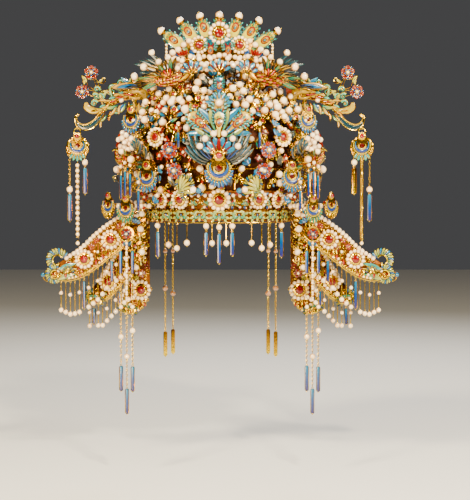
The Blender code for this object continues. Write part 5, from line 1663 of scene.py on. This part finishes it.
# ---- Temple and rear strands
# Long chains with pearls and enamel bars: three from a flower disc in front of each ear, and two behind
# the ears from the rear of the edging.
TEMPLE_STRANDS = (      # x, pearl height, and the bar's top and foot, all from the middle of the disc
    (-7.5, -134, -172, -205), (0, -160, -202, -235), (7.5, -126, -173, -206))
for side, hand in SIDES:
    piece = Pile()
    place = facing(side * 121, -50, -26)
    piece.add(scalloped_plate(10, 12, 1.8), place)
    flower(piece, place @ at(0, 0, 1.4), 8.6, 5)
    piece.add(ball(1.4, gilt, 8, 5, shade=0.9), place @ at(0, 10.5, 1))
    for i in range(14):         # a net of small beads below the disc
        piece.add(ball(1.0, gilt, 6, 4, shade=0.9), place @ at(*polar(9.6, 200 + i * 140 / 13), 1.8))
    for x, pearl_y, top, foot in TEMPLE_STRANDS:
        if x == 0:
            bead_line(piece, place, x, -9, pearl_y * 0.55, 1.8, 2)
            link_line(piece, place, x, pearl_y * 0.55 - 2, pearl_y + 4)
        else:
            enamel_bar(piece, place @ at(x * 1.02, 0, 0.2), 4.8, -52, -22)
            link_line(piece, place, x, -8, -19)
            link_line(piece, place, x, -53, -92)
            pearl(piece, x, -95, 0.2, 2.9, place)
            link_line(piece, place, x, -98, pearl_y + 4)
        pearl(piece, x, pearl_y, 0.2, 3.9, place, fine=True)
        piece.add(ball(1.3, gilt, 8, 5, shade=0.9), place @ at(x, pearl_y - 4.4, 0.2))
        link_line(piece, place, x, pearl_y - 5, top + 2)
        enamel_bar(piece, place @ at(x, 0), 5.4, foot, top)
    post(piece, place @ Vector((0, 0, 0.6)), Vector((side * 100, -28, -8)), 1.4)
    piece.made(f"temple_strands_{hand}_set", "crown", f"temple_strands_{hand}", slot="blue_enamel")

    piece = Pile()
    for x, pearl_z, foot in ((66, -112, -196), (76, -104, -198)):
        place = facing(side * x, rail_depth(x), 0, side * 150)
        link_line(piece, place, 0, FRINGE_HEIGHT - 0.5, -50)
        pearl(piece, 0, -53, 0.2, 3.0, place)
        link_line(piece, place, 0, -56, pearl_z + 4)
        pearl(piece, 0, pearl_z, 0.2, 3.9, place, fine=True)
        link_line(piece, place, 0, pearl_z - 4, foot + 36)
        enamel_bar(piece, place, 5.2, foot, foot + 34)
    piece.made(f"rear_strands_{hand}_set", "crown", f"rear_strands_{hand}", slot="blue_enamel")


# ---- Back plaque
# A large gilt crescent medallion with a red stone, low on the back of the cap. It is ringed by threaded
# pearls and stands on a short post.
piece = Pile()
back_frame = on_cap(0, 66, 4, back=True)
crescent(piece, back_frame, 28, 1.2, ruby, petals=15)
for i in range(24):
    x, y = polar(1, -90 + 15 * i)
    pearl(piece, 30 * x, (30 if y > -0.2 else 33) * y, 1.6, 2.6, back_frame)
piece.add(wire([(0, 0, 0.5), (0, 0, -4)], 4.0, 10), back_frame)
piece.made("back_plaque_set", "crown", "back_plaque", slot="blue_enamel")


# ---- Ornaments on the cap
# The cap is packed with small pieces on short posts: pearls in gilt cups, fans of three blue petals, red
# flowers, scrolls, curved leaves, tufts of dark feathers and set stones. They lie close in front and
# thin out towards the back.
def pearl_sprig(pile, place, dice):
    """Adds a large pearl in a cup."""
    size = dice.uniform(3.9, 5.3)
    pile.add(cap_cup(5.0), place @ at(0, 0, 1.0))
    pearl(pile, 0, 0, 1.0, size, place, fine=True)
    for a in (0.6, 2.7, 4.8):
        pile.add(ball(0.9, gilt, 5, 4, shade=1.0), place @ at(*polar(size * 1.15, degrees(a)), -0.5))


def blue_sprig(pile, place, dice):
    """Adds a fan of three blue petals with a small pearl."""
    for turn in (-34, 0, 34):
        pile.add(leaf(9.5, 2.5, blue_enamel, (0.5, 0.0), widest=0.74, rim=0.45, depth=1.2),
                 place @ at(0, 0, 0, turn))
    pile.add(ball(1.5, gilt, 8, 5, shade=0.9), place @ at(0, 0, 1.2))
    pearl(pile, 0, 12.2, 1.5, 2.9, place)


def flower_sprig(pile, place, dice):
    """Adds a small red flower with a pearl in it."""
    small_flower(pile, place, 6.2, red_enamel, dice.choice((0.3, 0.7)))
    pearl(pile, 0, 0, 1.8, 1.9, place)


def scroll_sprig(pile, place, dice):
    """Adds a pair of gilt scrolls with two leaves and beads."""
    for way in (1, -1):
        pile.add(curl(1.1, 4.6, 0.75, way), place @ at(0, 0, 0.8))
        pile.add(ball(1.3, gilt, 7, 5, shade=1.0), place @ at(way * 4.2, 0.6, 1.6))
    pile.add(leaf(9, 2.2, gilt, (0.9, 0.5), rim=0.5, depth=1.8, steps=6), place @ at(0, -1, 0.6))
    enamel = dice.choice((teal_enamel, red_enamel, blue_enamel))
    pile.add(leaf(6, 1.7, enamel, (0.2, 0.0), rim=0.4, depth=1.5, steps=6), place @ at(0, 0, 1.0, 180))


def leaf_sprig(pile, place, dice):
    """Adds two curved teal leaves and a blue one."""
    pair = {"rise": 2, "rim": 0.45, "depth": 1.2}
    pile.add(leaf(12, 2.3, teal_enamel, (0.8, 0.1), bend=42, **pair), place @ at(0, 0, 0, -10))
    pile.add(leaf(11, 2.2, teal_enamel, (0.9, 0.3), bend=-42, **pair), place @ at(0, 0, 0.4, 14))
    pile.add(leaf(7, 2.0, blue_enamel, (0.3, 0.0), rim=0.4, depth=1.3, steps=6), place @ at(0, 0, 1.0, 2))
    pile.add(ball(1.3, gilt, 7, 5, shade=1.0), place @ at(0, 0, 1.6))


def stone_sprig(pile, place, dice):
    """Adds a set red stone with a ring of gold beads."""
    pile.add(disc(4.2, 4.2, gilt, 0.8, 1.2), place)
    pile.add(cut_stone(2.7, 1.5, 8, ruby if dice.random() < 0.5 else garnet), place @ at(0, 0, 1.6))
    for angle in range(0, 360, 45):
        pile.add(ball(0.8, gilt, 6, 4, shade=1.0), place @ at(*polar(4.0, angle), 1.2))


def tuft_sprig(pile, place, dice):
    """Adds a tuft of dark curved feathers."""
    for i in range(5):
        feather = leaf(15 - abs(i - 2) * 1.6, 1.8, feather_enamel, (0.0, 0.9), widest=0.6, bend=(i - 2) * -16,
                       rise=4, rim=0.28, depth=1.0)
        pile.add(feather, place @ at(0, 0, 0.4 * i, (i - 2) * -17))


KINDS = (           # all called alike, also those that need no dice
    pearl_sprig, blue_sprig, flower_sprig, scroll_sprig, leaf_sprig, stone_sprig, tuft_sprig)
CROWN_SHARES = (5, 2, 3, 5, 1, 2, 1)        # how often each kind comes high on the front
FRONT_SHARES = (6, 3, 8, 11, 2, 6, 4)
BACK_SHARES = (2, 1, 1, 5, 3, 1, 1)
SIDE_PLACES = ((62, 81, 15), (56, 55, 15), (80, 98, 13), (61, 126, 13), (92, 49, 17), (33, 112, 15),
               (24, 84, 20), (73, 22, 20), (49, 22, 16), (30, 66, 12))
MAIN_PLACES = [     # x, z and reach of the named pieces, below which the ornaments stay low
    (0, 58, 20), (0, 78, 22), (0, 100, 16), (0, 122, 15), (0, 142, 13),
    *((side * x, z, reach) for side in (1, -1) for x, z, reach in SIDE_PLACES)]


def region(angle):
    """The piece that an ornament at an angle from the front belongs to."""
    if abs(angle) > 110:
        return "back"
    return "front" if abs(angle) < 48 else "right" if angle > 0 else "left"


dice = Random(5)
spots = []
ground = {name: Pile() for name in ("front", "left", "right", "back")}
for _ in range(26000):          # most tries fall too close to another piece
    z = dice.uniform(31, 174)
    angle = dice.uniform(-180, 180)
    point = Vector(around_cap(angle, z, 0))
    off_front = abs(angle)
    gap = 10.3 if off_front < 75 else 12.2 if off_front < 115 else 17.5
    if any((point - other).length < gap for other in spots):
        continue
    spots.append(point)
    named = any(hypot(point.x - x, point.z - height) < reach for x, height, reach in MAIN_PLACES)
    if named and off_front < 80:
        lift = dice.uniform(3.0, 6.0)
    else:
        lift = dice.uniform(6, 13) if off_front < 115 else dice.uniform(2.5, 8)
    lift = min(lift, 8 if z < 42 else 9 if z > 165 else 13)
    shares = BACK_SHARES if off_front > 110 else CROWN_SHARES if z > 108 else FRONT_SHARES
    kind = dice.choices(KINDS, shares)[0]
    if z < 160:
        x, y, _ = around_cap(angle, z, lift)
        wide, deep = cap_size(z)
        slope = degrees(atan2(cap_size(z - 6)[1] - cap_size(z + 6)[1], 12))
        place = facing(x, y, z, 0.9 * degrees(atan2(x / wide ** 2, -y / deep ** 2)), 0.7 * slope)
    else:
        place = facing(*(point + Vector((0, 0, lift))), angle, 60)
    pile = ground[region(angle)]
    spin = dice.uniform(-70, 70)
    kind(pile, place @ at(0, 0, 0, spin, dice.uniform(0.92, 1.12), dice.uniform(-12, 12)), dice)
    path = (place @ Vector((0, 0, 0.3)), place @ Vector((0, 0, -lift / 2)), point * 0.995)
    pile.add(wire(path, 0.7, 5, shade=0.3))
for name, pile in ground.items():
    pile.made(f"cap_ornaments_{name}", "crown")


# ---- Ground of the crest
# Rows of pearls, petal fans and small gilt birds that fill the step between the crest and the dome, each
# on a wire from the dome.
def tied(pile, spot):
    """Adds a wire from a spot back and down to the dome."""
    x, y, z = spot
    foot_z = min(max(z - 10, 40), 172)
    wide, deep = cap_size(foot_z)
    share = min(0.96, max(-0.96, x / wide))
    foot = (wide * share, -deep * sqrt(1 - share ** 2), foot_z)
    middle = ((x + foot[0]) / 2, (y + foot[1]) / 2, (z + foot[2]) / 2 - 2)
    pile.add(wire([spot, middle, foot], 0.7, 5, shade=0.4))


crest_ground = Pile()
dice = Random(23)
GROUND_ROWS = (     # z, y, half span
    (184, -68, 78), (175, -76, 86), (166, -82, 90), (157, -88, 94), (147, -92, 100), (137, -97, 96))
for row, (z, y, half_span) in enumerate(GROUND_ROWS):
    count = int(half_span * 2 / 11.5)
    for i in range(count):
        x = (i / (count - 1) * 2 - 1) * half_span + dice.uniform(-2, 2)
        if row == 0 and abs(x) < 26:
            continue
        back, down = 34 * (x / 110) ** 2, 16 * (x / 100) ** 2
        spot = (x, y + back + dice.uniform(-3, 3), z - down + dice.uniform(-3, 3))
        inner = abs(x) < 64 and row in (1, 2, 3)        # gilt and red between the birds
        kind = dice.choices(KINDS, (2, 2, 4, 6, 1, 2, 3) if inner else (7, 2, 2, 3, 1, 2, 0))[0]
        if (i + row) % 2 and not inner or inner and i % 4 == 1:
            kind = pearl_sprig
        kind(crest_ground, facing(*spot, x * 0.35, 18) @ at(0, 0, 0, dice.uniform(-50, 50)), dice)
        tied(crest_ground, spot)
CREST_FAN = ((30, 17, 2.6), (60, 19, 2.8), (90, 20, 2.8), (120, 19, 2.8), (150, 17, 2.6))
for x, y, z, turn in ((-34, -98, 176, -6), (34, -98, 176, 6), (0, -92, 178, 0)):
    place = facing(x, y, z, x * 0.3, 10) @ at(0, 0, 0, -turn)
    petal_fan(crest_ground, place, CREST_FAN, 3.5, 3.6, (0.0, 0.25))
    tied(crest_ground, (x, -92, z))
for side in (1, -1):            # gold bead drops below the outer plumes
    place = facing(side * 68, -66, 217)
    bead_line(crest_ground, place, 0, 0, -26, 1.7, 1)
    crest_ground.add(wire([(-4, 8, 2), (0, 0, 0), (0, -28, 0)], 0.6, 5), place)
place = facing(0, -98, 160, 0, 8)
plume(crest_ground, place, -14, 14, 6.0, blue_enamel, (0.5, 0.0), 0.1, eye_at=0.6, stripes=False, middle=0.1)
tied(crest_ground, (0, -98, 158))
crest_ground.made("crest_ground_set", "crown")


# ---- Side phoenixes
# A gilt bird that stands out on a post from each side of the cap, with hanging blue bars, and pearls,
# petals and scrolls on springs around it.
def to_cap(pile, side, x, y, z, height, foot, radius):
    """Adds a post from a point beside the cap straight in to the cap."""
    wide, deep = cap_size(height)
    inwards = 1 / sqrt((x / wide) ** 2 + (y / deep) ** 2)
    post(pile, (side * x, y, z), (side * x * inwards, y * inwards, foot), radius)


def spring_to_cap(pile, side, x, y, z, angle, back=0):
    """Adds a sagging wire from a point beside the cap to the cap at an angle from the front."""
    foot_x, foot_y, _ = around_cap(angle, z, -0.5)
    middle = (side * (x + foot_x) / 2, (y + foot_y) / 2 + back, z - 3)
    pile.add(wire([(side * x, y, z), middle, (side * foot_x, foot_y, z)], 0.6, 5, shade=0.4))


SIDE_BARS = (       # x, y, and the bar's top and foot
    (114, -78, 52, 22), (127, -62, 50, 19), (121, -72, 55, 23), (51, -112, 103, 84), (103, -84, 30, 4))
WING_ROOTS = ((100, 0), (109, -2), (101, -10), (111, -13), (102, -20), (112, -24), (103, -30), (121, -8),
              (123, -34), (107, -40), (118, -44), (100, -50), (110, -54), (102, -62), (108, -70), (101, -78))
for side, hand in SIDES:
    piece = Pile()
    dice = Random(31)
    place = facing(side * 118, -58, 66, side * 24) @ flipped(-side)
    bird(piece, place, 1.35)
    piece.add(cut_stone(2.2, 1.3, 8, ruby), place @ at(0, 0, 8))
    piece.add(toothed_setting(2.1, 1.2, 8), place @ at(0, 0, 7.4))
    to_cap(piece, side, 118, -58, 66, 66, 63, 1.2)
    for x, y, top, foot in SIDE_BARS:
        place = facing(side * x, y, 0, side * 30)
        enamel_bar(piece, place, 4.4, foot, top)
        link_line(piece, place, 0, top + 9, top + 2)
        pearl(piece, 0, top + 11, 0, 2.6, place)
        to_cap(piece, side, x, y, top + 13.5, top + 12, top + 10, 0.7)
    for i in range(13):         # a cluster of pearls on springs above the bird, with petals under it
        turn, out = i * 2.4, 3.2 * sqrt(i)
        x, y, z = 122 + out * cos(turn), -62 + (i % 3) * 4, 92 + 1.25 * out * sin(turn)
        pearl(piece, side * x, y - 4, z, dice.uniform(3.4, 4.6), None, fine=True)
        piece.add(leaf(9, 2.2, (blue_enamel, gilt, red_enamel)[i % 3], (0.4, 0.0), rim=0.45),
                  facing(side * x, y, z, side * 24) @ at(0, 0, 0, side * degrees(turn)))
        spring_to_cap(piece, side, x, y - 4, z, 66, 2)
    for i in range(32):         # pearls, blue petals and scrolls on springs down the side
        z = 10 + i * 4.0
        angle = 68 + dice.uniform(-22, 30)
        reach = dice.uniform(14, 30) if z > 34 else dice.uniform(10, 22)
        x, y, _ = around_cap(angle, z, reach * (0.6 if z > 104 else 1))
        kind = dice.choices(KINDS, (5, 3, 2, 3, 2, 2, 1))[0]
        spot = facing(side * x, y, z, side * angle * 0.7) @ at(0, 0, 0, dice.uniform(-60, 60))
        kind(piece, spot, dice)
        spring_to_cap(piece, side, x, y, z, angle)
    for i, (x, z, turn) in enumerate(((103, 76, -24), (94, 70, -44))):     # dark feather tufts
        place = facing(side * x, -84 + i * 5, z, side * 38) @ flipped(side)
        for k in range(5):
            feather = leaf(22 - abs(k - 2) * 2, 3.0, feather_enamel, (0.2, 1.0), bend=40, rise=4, rim=0.22,
                           steps=8)
            piece.add(feather, place @ at(0, 0, 0.6 * k, turn + 46 + (k - 2) * 17))
        post(piece, tuple(place.translation), (side * x * 0.82, -60, z - 4), 1.0)
    for i, (x, y) in enumerate(WING_ROOTS):     # small pieces that hide the wings' roots
        spot = wing_frame(side, "front") @ at(x, y, 7.5, dice.uniform(-60, 60))
        KINDS[(0, 2, 3, 1, 0, 5, 3)[i % 7]](piece, spot, dice)
        piece.add(wire([spot @ Vector((0, 0, z)) for z in (0, -4, -8)], 0.7, 4))
    place = facing(side * 43, -119, 38, side * 14) @ flipped(side) @ Matrix.Scale(1.35, 4)
    fluted_curl(piece, place, 10, 200, -20)     # a scroll bird above the band
    fluted_curl(piece, place @ at(-4, -10, 1.2), 8, 190, -50)
    for k in range(6):
        piece.add(leaf(19 - k, 1.9, teal_enamel, (0.3, 0.0), bend=-44, rise=2, rim=0.4, depth=1.4),
                  place @ at(8 - k, -9 + k * 0.8, 2.0 + 0.2 * k, 64 - k * 16))
    piece.add(ball(2.8, blue_enamel, 10, 7, shade=0.1), place @ at(-14, -6, 2))
    pearl(piece, -9, -5, 3, 3.4, place)
    piece.add(wire([place @ Vector((0, 0, 1)), place @ Vector((0, 0, -16))], 1.5, 7))
    piece.made(f"side_phoenix_{hand}_set", "crown")


# ---- Camera, floor and lights
# A pale floor below the hanging strands, large soft lights from above and both sides, and the camera
# in front of the crown, a little above its band.
FLOOR_HEIGHT = -0.345
floor_mesh = bpy.data.meshes.new("floor")
floor_mesh.from_pydata([(-4, -3, FLOOR_HEIGHT), (4, -3, FLOOR_HEIGHT), (4, 5, FLOOR_HEIGHT),
                        (-4, 5, FLOOR_HEIGHT)], [], [(0, 1, 2, 3)])
floor = bpy.data.objects.new("floor", floor_mesh)
bpy.context.scene.collection.objects.link(floor)
paper = bpy.data.materials.new("floor_paper")
paper.use_nodes = True
paper.node_tree.nodes["Principled BSDF"].inputs["Base Color"].default_value = (0.80, 0.79, 0.77, 1)
paper.node_tree.nodes["Principled BSDF"].inputs["Roughness"].default_value = 0.7
floor_mesh.materials.append(paper)

world = bpy.data.worlds.new("studio") if bpy.context.scene.world is None else bpy.context.scene.world
bpy.context.scene.world = world
world.use_nodes = True
backdrop = next(node for node in world.node_tree.nodes if node.type == "BACKGROUND")
backdrop.inputs["Color"].default_value = (0.80, 0.80, 0.82, 1)
backdrop.inputs["Strength"].default_value = 0.08


def aimed(data, spot, target):
    """A light or a camera at a spot, turned to a target."""
    made = bpy.data.objects.new(data.name, data)
    made.location = spot
    made.rotation_euler = (Vector(target) - Vector(spot)).to_track_quat("-Z", "Y").to_euler()
    bpy.context.scene.collection.objects.link(made)
    return made


def lamp(name, spot, size, power, colour=(1, 1, 1)):
    """A square soft light that points at the middle of the crown."""
    light = bpy.data.lights.new(name, "AREA")
    light.size = size
    light.energy = power
    light.color = colour
    aimed(light, spot, LIGHT_TARGET)


LIGHT_TARGET = (0, 0, 0.05)
lamp("key_light", (-0.9, -1.5, 1.3), 0.3, 92, (1.0, 0.84, 0.54))
lamp("side_light", (1.4, -0.9, 0.6), 0.55, 46, (1.0, 0.90, 0.68))
lamp("back_light", (0.3, 1.5, 1.2), 0.8, 30)
lamp("low_light", (-0.5, -1.3, -0.15), 0.4, 18, (1.0, 0.72, 0.38))
lamp("spark_light", (0.35, -1.3, 0.9), 0.10, 44, (1.0, 0.84, 0.58))

camera_data = bpy.data.cameras.new("camera")
camera_data.sensor_width = 36
camera_data.sensor_fit = "HORIZONTAL"
camera_data.clip_end = 50
CAMERA_SPOT = Vector((0.020, -1.95, 0.03))
CAMERA_TARGET = Vector((0.020, -0.05, -0.047))
SEEN_WIDTH = 0.611      # metres that fill the picture's width at the target
camera_data.lens = camera_data.sensor_width * (CAMERA_TARGET - CAMERA_SPOT).length / SEEN_WIDTH
bpy.context.scene.camera = aimed(camera_data, CAMERA_SPOT, CAMERA_TARGET)
